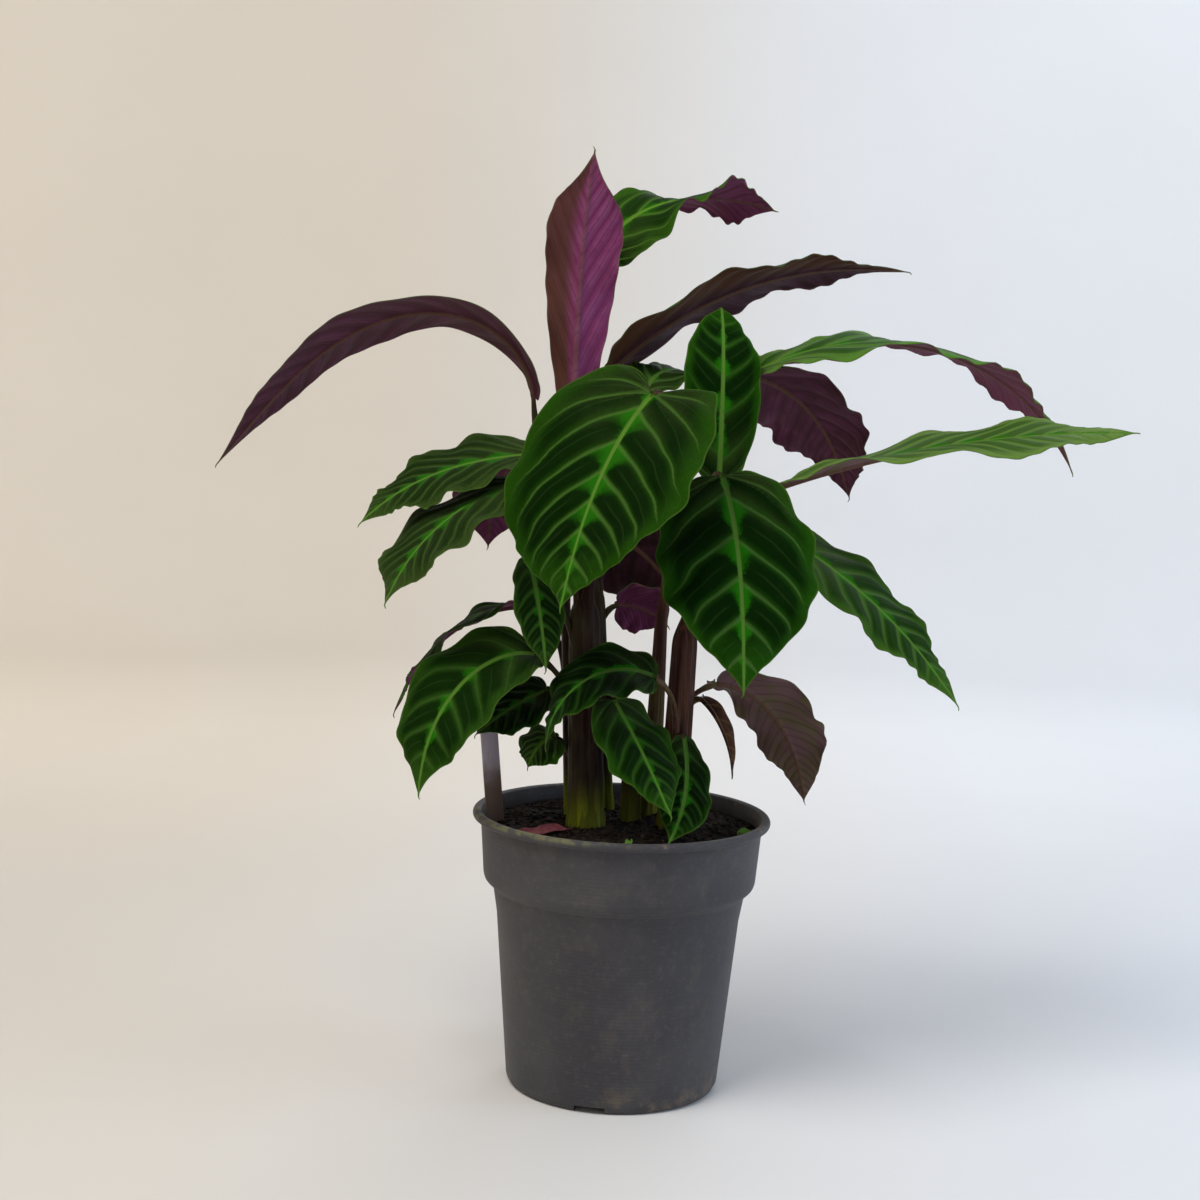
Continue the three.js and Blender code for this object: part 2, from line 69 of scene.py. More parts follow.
# ---- sizes, in millimetres
POT_HEIGHT = POT_BOX[1].z / MM
RIM_RADIUS = POT_BOX[1].x / MM
FOOT_RADIUS = 66.5
SHOULDER = (80.4, 127.0)  # radius and height of the top of the plain body
COLLAR = (86.8, 135.0)  # radius and height of the foot of the stepped collar
POT_WALL = 1.6
POT_FLOOR = 7.0
PAD_RADIUS = 40.0
NOTCHES = {"count": 4, "width": 21.0, "height": 4.5, "depth": 16.0, "turn": -101.0}

SOIL_EDGE = 166.0
SOIL_CROWN = 4.0
HOLE_DEPTH = 24.0

LABEL = {"width": 12.5, "thick": 0.8, "length": 113.0, "point": 16.0, "sunk": 40.0}
LABEL_AT = (-80.0, -2.0)
LABEL_LEAN = -6.0
LABEL_TURN = 35.0

# Each shoot: its foot in the soil, where its bundle of stalks parts, its radius at both.
SHOOTS = {
    "front": {"foot": (-22, -13), "fork": (-29, -10, 320), "radius": (15, 12)},
    "left": {"foot": (-30, 17), "fork": (-39, 14, 300), "radius": (8, 6)},
    "centre": {"foot": (6, 2), "fork": (4, 8, 235), "radius": (9, 6)},
    "right": {"foot": (32, -6), "fork": (36, -4, 305), "radius": (12, 10)},
    "back_right": {"foot": (17, 24), "fork": (20, 18, 315), "radius": (7, 4)},
    "back": {"foot": (-13, 38), "fork": (-24, 40, 325), "radius": (10, 8)},
}

LIGHT_SHOOTS = ("right", "back_right")

MIDRIB_STEPS = 60
ARCH_BEND = 0.5  # a midrib with a smaller bend than this turns most near its neck
LOBE = 0.25  # how far the lobes at the base reach back
CROWN = 0.12  # how far the margins droop
TIP_POWER = 1.25
WAVES = 3.5  # waves along each margin
WAVE_SHIFT = 2.0  # between the waves of the two margins, in radians
WAVE_TURN = 1.7  # from each leaf's waves to the next leaf's, in radians
WAVE_FADE = 20.0  # half width below which the waves fade
SCALLOP = 0.02  # of the half width
FRILL_HEIGHT = 0.9
GROOVE_DEPTH = 0.5  # of the midrib in the upper face
GROOVE_WIDTH = 1.5
RIB_HEIGHT = 2.3  # of the midrib under the blade
BIG_LEAF = 130.0  # a longer blade has all the rows, a shorter one has fewer
BASE_VEINS = 1.6  # side veins that spread from the neck
VEIN_CROWDING = 0.6  # how much closer the side veins stand towards the tip
VEIN_SHIFT = 0.12  # of the right half's veins against the left half's

STALK_RUN_IN = 40.0  # longest handle of the curve that brings a stalk into its midrib
STALK_STEPS = {"foot": 13, "curve": 34, "rows": 56}
STALK_SIDES = 14
CORE_ROWS = 40

POT_SIDES = 180
POT_ROUNDING = 1.1
SOIL_SIDES = 150
SOIL_RINGS = 70
SOIL_REACH = RIM_RADIUS - 7.9
SOIL_SLOPE_REACH = RIM_RADIUS - 7.6
SOIL_SHOULDER = 78.0
CRUMB_REACH = RIM_RADIUS - 9.5
CRUMB_SIDES = 6
SOIL_WAVES = ((0.05, 1.3), (0.13, 0.8), (0.31, 0.5), (0.7, 0.35))  # radians a millimetre, height

COVE = {"floor": 2000.0, "sweep": 700.0, "top": 3200.0, "steps": 12, "sides": 128}

# name, place, aim and size in metres, which power and how much of it, colour
LIGHTS = (
    ("key", (-0.7, -0.9, 2.0), (0, 0, 0.3), 1.1, "key_power", 1.0, (1.0, 0.97, 0.93)),
    ("fill", (1.6, -0.3, 0.8), (0, 0, 0.3), 1.2, "fill_power", 1.0, (0.6, 0.78, 1.0)),
    ("back", (0.5, 1.5, 1.5), (0, 0, 0.4), 1.0, "fill_power", 0.7, (1.0, 1.0, 1.0)),
    ("wall_left", (-1.2, 0.9, 1.3), (-1.1, 2.7, 0.5), 1.4, "wall_power", 1.0, (1.0, 0.86, 0.66)),
    ("wall_right", (1.2, 0.9, 1.7), (1.1, 2.7, 1.5), 1.4, "wall_power", 1.8, (0.86, 0.93, 1.0)),
)


class Leaf:
    """One leaf: how its midrib runs, the shape of its blade, and how it looks.

    veins is the number of side veins on each half and contrast how clear they are. fresh
    makes the green yellower. pale makes it greyer, partly with painted sheen, and the
    underside dull pink and olive. sun is painted light that lightens both faces or, below 0,
    painted shade that darkens them. glow is painted backlight: it turns the underside from
    dusky purple in shade to the magenta of light shining through it, and bronze is painted
    shade on its right half. frill waves the margin, drip draws the tip in to a point and slant leans the
    side veins to the tip.
    """

    count = 0

    def __init__(self, name, shoot, neck, heading, slope, bend, length, width, widest,
                 roll, fold, wave, veins=8, fresh=0.2, pale=0.2, glow=0.1, bronze=0,
                 frill=0.8, drip=0.2, lobe=LOBE, slant=0.8, contrast=1.0, sun=0.0):
        self.order = Leaf.count
        Leaf.count += 1
        self.name, self.shoot, self.neck = name, shoot, np.array(neck, float)
        self.heading, self.slope, self.bend = heading, slope, bend
        self.length, self.width, self.widest = float(length), float(width), widest
        self.roll, self.fold, self.wave = roll, fold, wave
        self.veins, self.fresh, self.pale, self.glow = veins, fresh, pale, glow
        self.bronze, self.frill, self.drip, self.lobe = bronze, frill, drip, lobe
        self.slant, self.contrast, self.sun = slant, contrast, sun

    def neck_radius(self):
        return 1.3 + self.length * 0.0045


# name, shoot, neck, (heading, sweep), slope at both ends, bend, length, width, widest,
# roll at both ends, fold at both ends, wave height; then the leaf's looks, some of them painted light and
# shade
LEAVES = [
    Leaf("leaf_far_left", "left", (-65, 15, 435), (180, -10), (86, -51), 0.42, 273, 66, 0.45,
         (-18, -14), (4, 8), 1.2, veins=12, glow=0.12, frill=0.3, drip=0.0),
    Leaf("leaf_upright_purple", "back", (-40, 10, 412), (-65, 0), (93, 74), 1.3, 178, 50, 0.7,
         (25, 25), (55, 0), 2, veins=9, slant=1.7, glow=1.0, bronze=1, drip=0.35),
    Leaf("leaf_high_back", "back", (-29, 46, 527), (20, -20), (80, -20), 0.6, 132, 66, 0.52,
         (-80, 60), (6, 0), 4, veins=7, slant=1.4, fresh=0.8, pale=0.3, sun=0.2, glow=0.4,
         frill=2.2, drip=0.0),
    Leaf("leaf_high_right", "back", (-22, 37, 453), (18, -2), (45, -5), 1, 228, 60, 0.4,
         (34, 20), (12, 0), 3, veins=11, glow=0.0, bronze=1, frill=1.2, sun=-0.15),
    Leaf("leaf_upright_green", "right", (52, -8, 389), (92, 0), (93, 12), 2, 130, 50, 0.5,
         (-10, -10), (9, 0), 2, veins=6, fresh=0.25, pale=0.0, drip=0.0, contrast=0.3),
    Leaf("leaf_front_centre", "front", (8, -58, 441), (-132, 19), (-36, -68), 0.7, 152, 138, 0.52,
         (19, -30), (14, 0), 2, veins=7.5, fresh=0.45, pale=0.05, lobe=0.45, sun=-0.1),
    Leaf("leaf_front_right", "right", (52, -50, 394), (-76, -9), (-31, -76), 0.8, 148, 95, 0.48,
         (-8, 8), (2, 2), 2.5, veins=5.5, fresh=0.1, pale=0.05, frill=1.5),
    Leaf("leaf_upper_right", "right", (72, 18, 458), (4, 6), (27, -66), 1.2, 246, 68, 0.38,
         (-21, 20), (8, 0), 3.5, veins=11, fresh=0.3, pale=0.5, sun=1.5, glow=0.15, frill=1.6,
         slant=1.4, drip=0.5),
    Leaf("leaf_back_right", "back_right", (66, 44, 456), (38, 2), (0, -72), 0.9, 139, 75, 0.58,
         (40, -8), (-6, 0), 3, veins=9, glow=0.15, frill=1.4),
    Leaf("leaf_right_long", "right", (89, -13, 388), (-7, -2), (21, 1), 1, 218, 67, 0.56,
         (4, -28), (16, 1), 3, veins=11, fresh=0.5, pale=1.0, sun=1.8, glow=0.2, frill=0.7,
         slant=1.4, drip=0.0),
    Leaf("leaf_right_low", "right", (97, -16, 355), (4, -30), (-29, -54), 1, 148, 70, 0.35,
         (-25, -16), (10, 0), 3, veins=9, fresh=0.3, pale=0.5, sun=0.5, glow=0.3, frill=1.2,
         contrast=0.6),
    Leaf("leaf_low_right", "back_right", (58, 37, 256), (30, 5), (2, -80), 0.65, 122, 58, 0.5,
         (27, 27), (25, 8), 3, pale=1.2, frill=1.2, drip=0.0, sun=0.7),
    Leaf("leaf_left_upper", "left", (-66, -8, 401), (174, 24), (-7, -48), 1.4, 118, 72, 0.38,
         (22, 25), (12, -2), 3, fresh=0.3, pale=0.9, frill=1.2, contrast=0.3, slant=1.5),
    Leaf("leaf_left_middle", "front", (-68, -26, 386), (-172, 40), (-19, -64), 1.1, 121, 80, 0.55,
         (17, -8), (2, 8), 3, fresh=0.3, pale=1.0, frill=0.6, contrast=0.2, slant=1.3),
    Leaf("leaf_back_left", "left", (-62, 40, 408), (150, -50), (-10, -84), 0.7, 96, 66, 0.5,
         (0, 0), (0, 0), 3, veins=7, glow=0.5),
    Leaf("leaf_small_hanging", "front", (-63, -26, 337), (-65, 4), (-54, -76), 1, 72, 34, 0.48,
         (5, 0), (12, 4), 2, veins=7, fresh=0.1, pale=0.4, contrast=0.35),
    Leaf("leaf_left_edge", "left", (-65, 23, 303), (-165, -8), (9, -74), 0.7, 120, 60, 0.5,
         (0, -14), (12, -4), 3, glow=0.6, frill=1.4),
    Leaf("leaf_left_low", "front", (-56, -31, 278), (-153, 14), (22, -90), 0.65, 130, 62, 0.5,
         (35, 20), (14, 0), 3, veins=6, fresh=0.3, pale=0.35, frill=1.5, contrast=0.35),
    Leaf("leaf_left_inner", "front", (-50, -13, 254), (-158, 4), (-19, -40), 0.9, 54, 52, 0.5,
         (25, 8), (10, -4), 2, veins=6, fresh=0.0, pale=0.0, contrast=0.3, sun=-0.15),
    Leaf("leaf_low_centre", "right", (17, -40, 269), (-160, 2), (26, -89), 1, 97, 56, 0.5,
         (45, -16), (10, 0), 2, veins=6, fresh=0.0, pale=0.1, frill=1.5, contrast=0.25, sun=-0.15),
    Leaf("leaf_small_round", "front", (-44, -10, 224), (-155, -5), (0, -80), 0.7, 28, 46, 0.55,
         (20, 10), (5, 0), 1, veins=5, fresh=0.6, pale=0.1),
    Leaf("leaf_low_front", "front", (-7, -38, 253), (-50, 2), (-42, -54), 1, 84, 60, 0.42,
         (5, 0), (4, 0), 2, veins=6, fresh=0.5, pale=0.1, contrast=0.35),
    Leaf("leaf_low_front_behind", "right", (37, -20, 229), (-75, -45), (-48, -38), 1, 81, 34, 0.55,
         (20, 25), (5, 0), 2, veins=6, fresh=0.1, pale=0.1, contrast=0.3, sun=-0.2),
    Leaf("leaf_withered", "right", (48, 1, 251), (-43, 11), (-20, -88), 0.7, 56, 14, 0.3,
         (0, 0), (35, 35), 1, veins=6),
    Leaf("leaf_back_centre_low", "back", (-8, 45, 304), (12, 0), (5, -45), 0.8, 38, 38, 0.45,
         (65, 60), (0, 0), 2, veins=7, glow=0.6),
    Leaf("leaf_back_centre", "back", (-16, 62, 350), (15, 0), (-20, -60), 0.8, 72, 76, 0.45,
         (62, 45), (0, 0), 2, veins=5, glow=0.0, sun=-0.45),
    Leaf("leaf_high_small", "back", (4, 30, 443), (55, -20), (60, -56), 0.8, 78, 46, 0.45,
         (-20, 0), (10, 0), 2, veins=7, fresh=0.0, pale=0.6),
]


# ---- small helpers
def mix(a, b, share):
    return a + (b - a) * share


def smooth(value, low, high):
    share = np.clip((value - low) / (high - low), 0.0, 1.0)
    return share * share * (3 - 2 * share)


def unit(vectors):
    return vectors / np.maximum(np.linalg.norm(vectors, axis=-1, keepdims=True), 1e-9)


def make_piece(name, points, faces, materials, face_slots=None, values=None, smooth_faces=True):
    """A mesh object from points in millimetres. values maps an attribute's name to its numbers."""
    mesh = bpy.data.meshes.new(name)
    mesh.from_pydata((np.asarray(points) * MM).tolist(), [], faces)
    for material in materials:
        mesh.materials.append(material)
    if face_slots is not None:
        mesh.polygons.foreach_set("material_index", np.asarray(face_slots, np.int32))
    mesh.polygons.foreach_set("use_smooth", np.full(len(faces), smooth_faces))
    for key, numbers in (values or {}).items():
        attribute = mesh.attributes.new(key, "FLOAT", "POINT")
        attribute.data.foreach_set("value", np.asarray(numbers, np.float32))
    mesh.update()
    piece = bpy.data.objects.new(name, mesh)
    bpy.context.scene.collection.objects.link(piece)
    return piece


def seat(piece, slot, *nodes):
    """The piece rides on the plant and stands for these nodes. slot is not used."""
    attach(piece, ROOT)
    if nodes:
        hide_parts(*nodes)


def revolve(profile, sides):
    """Points and faces of a closed profile of (radius, height) turned round the Z axis."""
    profile = np.asarray(profile, float)
    angles = np.arange(sides) * 2 * math.pi / sides
    points, rings = [], []
    for radius, height in profile:
        if radius < 1e-6:
            rings.append([len(points)] * sides)
            points.append((0.0, 0.0, height))
        else:
            rings.append([len(points) + k for k in range(sides)])
            points += [(radius * math.cos(a), radius * math.sin(a), height) for a in angles]
    faces = []
    for lower, upper in zip(rings[:-1], rings[1:]):
        for k in range(sides):
            n = (k + 1) % sides
            corners = [lower[k], lower[n], upper[n], upper[k]]
            faces.append(list(dict.fromkeys(corners)))
    return np.array(points), [f for f in faces if len(f) > 2]


def rounded(profile, radius, steps=3):
    """The same profile with each inner corner cut back by radius and rounded."""
    profile = [np.array(p, float) for p in profile]
    result = [profile[0]]
    for before, corner, after in zip(profile[:-2], profile[1:-1], profile[2:]):
        reach_in = min(radius, np.linalg.norm(corner - before) * 0.45)
        reach_out = min(radius, np.linalg.norm(after - corner) * 0.45)
        start = corner + (before - corner) / np.linalg.norm(before - corner) * reach_in
        end = corner + (after - corner) / np.linalg.norm(after - corner) * reach_out
        for k in range(steps + 1):
            u = k / steps
            result.append((1 - u) ** 2 * start + 2 * u * (1 - u) * corner + u * u * end)
    return result + [profile[-1]]


def bezier(start, first, second, end, count):
    u = np.linspace(0, 1, count)[:, None]
    rising = (1 - u) ** 3 * start + 3 * u * (1 - u) ** 2 * first
    return rising + 3 * u * u * (1 - u) * second + u**3 * end


def ring_faces(rows, sides):
    """Quads that join each ring of points to the next one."""
    faces = []
    for i in range(rows - 1):
        a, b = i * sides, (i + 1) * sides
        for k in range(sides):
            n = (k + 1) % sides
            faces.append([a + k, a + n, b + n, b + k])
    return faces


def tube(path, radii, sides, flutes, flute_depth):
    """Points, faces and the share along of a closed, fluted tube that follows path."""
    path = np.asarray(path, float)
    tangents = unit(np.gradient(path, axis=0))
    side = np.array([1.0, 0.0, 0.0])
    points = []
    angles = np.arange(sides) * 2 * math.pi / sides
    groove = 1 - flute_depth * (0.5 + 0.5 * np.cos(flutes * angles))
    for centre, tangent, radius in zip(path, tangents, radii):
        side = unit(side - tangent * side.dot(tangent))
        other = np.cross(tangent, side)
        across = np.cos(angles)[:, None] * side + np.sin(angles)[:, None] * other
        points.append(centre + across * (radius * groove)[:, None])
    rows = len(path)
    points = np.concatenate([*points, [path[0]], [path[-1]]])
    faces = ring_faces(rows, sides)
    first, last = rows * sides, rows * sides + 1
    top = (rows - 1) * sides
    for k in range(sides):
        n = (k + 1) % sides
        faces.append([first, n, k])
        faces.append([last, top + k, top + n])
    along = np.repeat(np.linspace(0, 1, rows), sides)
    return points, faces, np.concatenate([along, [0.0, 1.0]])


def closed_sheet(upper, under, crossed=False):
    """Points and faces of a thin sheet between two grids, and a 1 for each face of the lower.

    crossed makes the lower quads split along the other diagonal than the upper ones.
    """
    rows, wide = upper.shape[:2]
    count = rows * wide
    faces, slots = [], []
    for i in range(rows - 1):
        for j in range(wide - 1):
            a = i * wide + j
            b = a + wide
            lower = [count + a, count + b, count + b + 1, count + a + 1]
            faces.append([a, a + 1, b + 1, b])
            faces.append(lower[1:] + lower[:1] if crossed else lower)
            slots += [0, 1]
    border = list(range(wide)) + [i * wide + wide - 1 for i in range(1, rows)]
    border += [(rows - 1) * wide + j for j in range(wide - 2, -1, -1)]
    border += [i * wide for i in range(rows - 2, 0, -1)]
    for a, b in zip(border, border[1:] + border[:1]):
        faces.append([b, a, count + a, count + b])
        slots.append(0)
    return np.concatenate([upper.reshape(-1, 3), under.reshape(-1, 3)]), faces, slots


# ---- shader writing
def overload(operation, swapped=False):
    """A method of Signal that writes this operation into the shader."""
    def method(self, other):
        return self.finish.combine(operation, (other, self) if swapped else (self, other))
    return method


class Signal:
    """A shader socket that takes part in Python expressions."""

    def __init__(self, finish, socket):
        self.finish, self.socket = finish, socket

    __add__ = overload("ADD")
    __radd__ = overload("ADD", True)
    __sub__ = overload("SUBTRACT")
    __rsub__ = overload("SUBTRACT", True)
    __mul__ = overload("MULTIPLY")
    __rmul__ = overload("MULTIPLY", True)
    __truediv__ = overload("DIVIDE")
    __pow__ = overload("POWER")


class Finish:
    """One material: its shader, and the nodes that vary it over a surface."""

    def __init__(self, name, **constants):
        self.material = bpy.data.materials.new(name)
        self.material.use_nodes = True
        self.tree = self.material.node_tree
        self.shader = self.tree.nodes["Principled BSDF"]
        for socket, value in constants.items():
            self.shader.inputs[socket.replace("_", " ")].default_value = value

    def node(self, kind, settings, inputs, output=0):
        made = self.tree.nodes.new(kind)
        for key, value in settings.items():
            if key == "stops":
                self.set_stops(made.color_ramp, value)
            else:
                setattr(made, key, value)
        for key, value in inputs.items():
            self.feed(made.inputs[key], value)
        return Signal(self, made.outputs[output])

    @staticmethod
    def set_stops(ramp, stops):
        """The two ends of the ramp come first in stops, then what lies between them."""
        for element, (place, colour) in zip(ramp.elements, stops):
            element.position, element.color = place, (*colour, 1.0)
        for place, colour in stops[2:]:
            ramp.elements.new(place).color = (*colour, 1.0)

    def feed(self, socket, value):
        if isinstance(value, Signal):
            self.tree.links.new(value.socket, socket)
        elif socket.type == "RGBA":
            socket.default_value = (*value, 1.0)
        else:
            socket.default_value = value

    def math(self, operation, *values):
        return self.node("ShaderNodeMath", {"operation": operation}, dict(enumerate(values)))

    def combine(self, operation, pair):
        """The operation on two colours, two vectors or two numbers."""
        kinds = {part.socket.type for part in pair if isinstance(part, Signal)}
        if "RGBA" in kinds:
            return self.blend(*pair, 1.0, operation)
        if "VECTOR" in kinds:
            return self.node("ShaderNodeVectorMath", {"operation": operation}, dict(enumerate(pair)))
        return self.math(operation, *pair)

    def blend(self, first, second, share, kind="MIX"):
        settings = {"data_type": "RGBA", "blend_type": kind}
        return self.node("ShaderNodeMix", settings, {0: share, 6: first, 7: second}, 2)

    def step(self, value, low, high):
        """0 below low, 1 above high and smooth between; low may be the higher one."""
        settings = {"interpolation_type": "SMOOTHSTEP"}
        return self.node("ShaderNodeMapRange", settings, {0: value, 1: low, 2: high, 3: 0.0, 4: 1.0})

    def value(self, name):
        return self.node("ShaderNodeAttribute", {"attribute_name": name}, {}, "Fac")

    def values(self, *names):
        return [self.value(name) for name in names]

    def place(self):
        return self.node("ShaderNodeTexCoord", {}, {}, "Object")

    def axis(self, where, number):
        return self.node("ShaderNodeSeparateXYZ", {}, {0: where}, number)

    def noise(self, where, scale, detail=3.0, roughness=0.55):
        inputs = {"Vector": where, "Scale": scale, "Detail": detail, "Roughness": roughness}
        return self.node("ShaderNodeTexNoise", {}, inputs, 0)

    def paint(self, socket, value):
        self.feed(self.shader.inputs[socket], value)

    def bump(self, height, distance, strength=1.0):
        inputs = {"Height": height, "Distance": distance, "Strength": strength}
        self.paint("Normal", self.node("ShaderNodeBump", {}, inputs))


def vein_lines(finish, count, width):
    """1 on the side veins and 0 between them; count is how many lines there are to a vein."""
    waver = finish.noise(finish.place(), 32.0, 2.0) - 0.5
    vein, pitch = finish.value("vein") + waver * 0.14, finish.value("pitch")
    share = finish.math("FRACT", vein * count + 0.5)
    distance = finish.math("ABSOLUTE", share - 0.5) * pitch / count
    return 1 - finish.step(distance, width * 0.25, width)


def leaf_top_finish(colours):
    finish = Finish("leaf_top", Specular_IOR_Level=0.04, Sheen_Weight=0.01, Sheen_Roughness=0.3,
                    Specular_Tint=(0.4, 0.9, 0.2, 1.0), Sheen_Tint=(0.6, 0.95, 0.6, 1.0))
    across, edge, along = finish.values("across", "edge", "along")
    fresh, pale, sun = finish.values("fresh", "pale", "sun")
    half = across + edge
    grain = finish.noise(finish.place(), 60.0, 4.0)
    fine = finish.noise(finish.place(), 420.0, 2.0)
    uneven = grain - 0.5
    past_vein = finish.math("FRACT", finish.value("vein") + uneven * 0.1)

    # dark patches between the veins, with a lighter margin and tip round them
    inner = finish.step(edge / half + uneven * 0.12, 0.03, 0.26 + fresh * 0.15)
    not_tip = finish.step(along + uneven * 0.1, 0.93, 0.72)
    beside_vein = vein_lines(finish, 1.0, finish.value("pitch") * 0.24)
    patch = inner * not_tip * (1 - beside_vein * (0.55 + pale * 0.4))
    light = finish.blend(colours.mid_green, colours.fresh_green, fresh * 0.6)
    # partly painted sheen: paler leaves blend towards sage, their duller green and the grey sheen of
    # their velvet
    light = finish.blend(light, colours.sage_and_sheen, pale * 0.85)
    deep = finish.blend(colours.deep_green, light, fresh * 0.12)
    colour = finish.blend(light, deep, patch * (1 - pale * 0.25))
    # painted sheen: sage streaks along the veins near the base, where the velvet catches the light
    painted_sheen = finish.step(along + uneven * 0.4, 0.42, 0.05) * vein_lines(finish, 1.0, 12.0)
    colour = finish.blend(colour, colours.sage_and_sheen, painted_sheen * 0.4)
    # painted light, and below 0 painted shade, from sun over the fine mottling
    colour = colour * (0.5 + fine * 0.5 + grain * 0.5 + sun * 1.5)

    # bright flames beside the midrib, widest just past each side vein
    reach = half * ((1 - past_vein) ** 1.6 * 0.21 + 0.035) * (1.05 - along * 0.4)
    ragged = across + uneven * 9.0 + (fine - 0.5) * 4.0
    flame = finish.step(ragged, reach * 1.5, reach * 0.4)
    bright = finish.blend(colours.flame_green, colours.fresh_green, fresh * 0.5)
    colour = finish.blend(colour, bright, flame * 0.8)

    between = vein_lines(finish, 2.0, 0.9) * finish.step(across / half, 0.1, 0.3)
    colour = finish.blend(colour, colours.vein, between * inner * 0.1)
    line = vein_lines(finish, 1.0, 2.2 - across / half)
    strength = finish.value("contrast") * 0.5 * finish.step(edge / half, 0.02, 0.25)
    pale_line = finish.blend(colours.vein, colours.midrib, fresh * 0.6)
    colour = finish.blend(colour, pale_line, line * strength)
    rim = finish.step(edge, 1.4, 0.4)
    colour = finish.blend(colour, colours.rim, rim * 0.5)
    midrib = finish.step(across, 2.3 - along * 1.3, 1.0 - along * 0.6)
    rib = finish.blend(colours.vein, colours.midrib, 0.35 + fresh * 0.65)
    colour = finish.blend(colour, rib, midrib)

    finish.paint("Base Color", colour)
    finish.paint("Roughness", 0.5 + grain * 0.2)
    finish.bump(fine * 0.3 - line * 0.7 - between * 0.3, 0.0005, 0.8)
    return finish.material


def leaf_under_finish(colours):
    finish = Finish("leaf_underside", Specular_IOR_Level=0.08, Sheen_Weight=0.01, Sheen_Roughness=0.3,
                    Specular_Tint=(0.95, 0.65, 0.7, 1.0), Sheen_Tint=(0.95, 0.7, 0.8, 1.0))
    across, edge, along = finish.values("across", "edge", "along")
    glow, bronze, pale, sun = finish.values("glow", "bronze", "pale", "sun")
    grain = finish.noise(finish.place(), 60.0, 4.0)
    fine = finish.noise(finish.place(), 500.0, 2.0)
    # painted backlight: glow turns the underside from dusky purple in shade to the magenta of light
    # shining through it
    colour = finish.blend(colours.dusk, colours.magenta, glow)
    # painted light, and below 0 painted shade, from sun over the fine mottling
    colour = colour * (0.65 + fine * 0.35 + grain * 0.35 + sun * 0.9)
    faded = finish.blend(colours.under_pale, colours.under_olive,
                         finish.step(grain + fine * 0.2, 0.5, 0.72))
    colour = finish.blend(colour, faded, finish.step(pale, 0.4, 1.0) * 0.9)
    pleat = vein_lines(finish, 1.0, 6.0) * finish.step(grain, 0.3, 0.65)
    # light bands along the veins, stronger with the painted backlight
    colour = finish.blend(colour, colours.pleat, pleat * (0.1 + glow * 0.45))
    # painted shade: darker fine creases between the veins
    fold = vein_lines(finish, 2.0, 1.2)
    colour = finish.blend(colour, colours.painted_crease_shade, fold * 0.22)
    # painted shade on the right half of the underside
    colour = finish.blend(colour, colours.bronze, bronze * 0.92)
    midrib = finish.step(across, 2.2 - along * 1.2, 1.0 - along * 0.5)
    colour = finish.blend(colour, colours.rib_under, midrib * (0.85 - glow * 0.4))
    # painted rim light: a lighter, warmer edge of the underside
    rim = finish.step(edge, 1.2, 0.3)
    colour = finish.blend(colour, colours.painted_rim_light, rim * 0.5)
    finish.paint("Base Color", colour)
    finish.paint("Roughness", 0.55 + grain * 0.2)
    finish.bump(fine * 0.3 - fold * 0.5 + pleat * 0.5, 0.0005, 0.8)
    return finish.material


def dry_leaf_finish():
    finish = Finish("dry_leaf", Roughness=0.8, Specular_IOR_Level=0.2)
    grain = finish.noise(finish.place(), 90.0, 5.0)
    stops = [(0.3, (0.03, 0.014, 0.008)), (0.75, (0.16, 0.085, 0.035)), (0.55, (0.08, 0.035, 0.018))]
    colour = finish.node("ShaderNodeValToRGB", {"stops": stops}, {"Fac": grain})
    line = vein_lines(finish, 1.0, 0.8)
    finish.paint("Base Color", finish.blend(colour, (0.2, 0.12, 0.05), line * 0.4))
    finish.bump(grain, 0.001, 0.8)
    return finish.material


def stalk_finish(colours):
    finish = Finish("stalk", Roughness=0.5, Specular_IOR_Level=0.12)
    place = finish.place()
    streaks = finish.noise(place * (420.0, 420.0, 14.0), 1.0, 4.0, 0.6)
    patches = finish.noise(place * (38.0, 38.0, 14.0), 1.0, 3.0)
    along, height = finish.values("along", "height")
    brown = finish.blend(colours.stalk_dark, colours.stalk_light, finish.step(streaks, 0.42, 0.72))
    olive = finish.blend(brown, colours.stalk_olive, finish.step(patches, 0.48, 0.66) * 0.7)
    neck = finish.step(along, 0.86, 0.97)
    colour = finish.blend(olive, colours.stalk_olive, neck * 0.55)
    colour = colour * (1 + finish.value("tone") * 1.7)
    low = finish.step(height + (patches - 0.5) * 30.0, 38.0, 4.0)
    colour = finish.blend(colour, colours.stalk_base, low * finish.value("green_base"))
    soiled = finish.step(height + (streaks - 0.5) * 10.0, 5.0, -1.0)
    colour = finish.blend(colour, (0.02, 0.013, 0.009), soiled * 0.8)
    finish.paint("Base Color", colour)
    finish.paint("Roughness", 0.38 + streaks * 0.22)
    finish.bump(streaks, 0.0007, 0.7)
    return finish.material


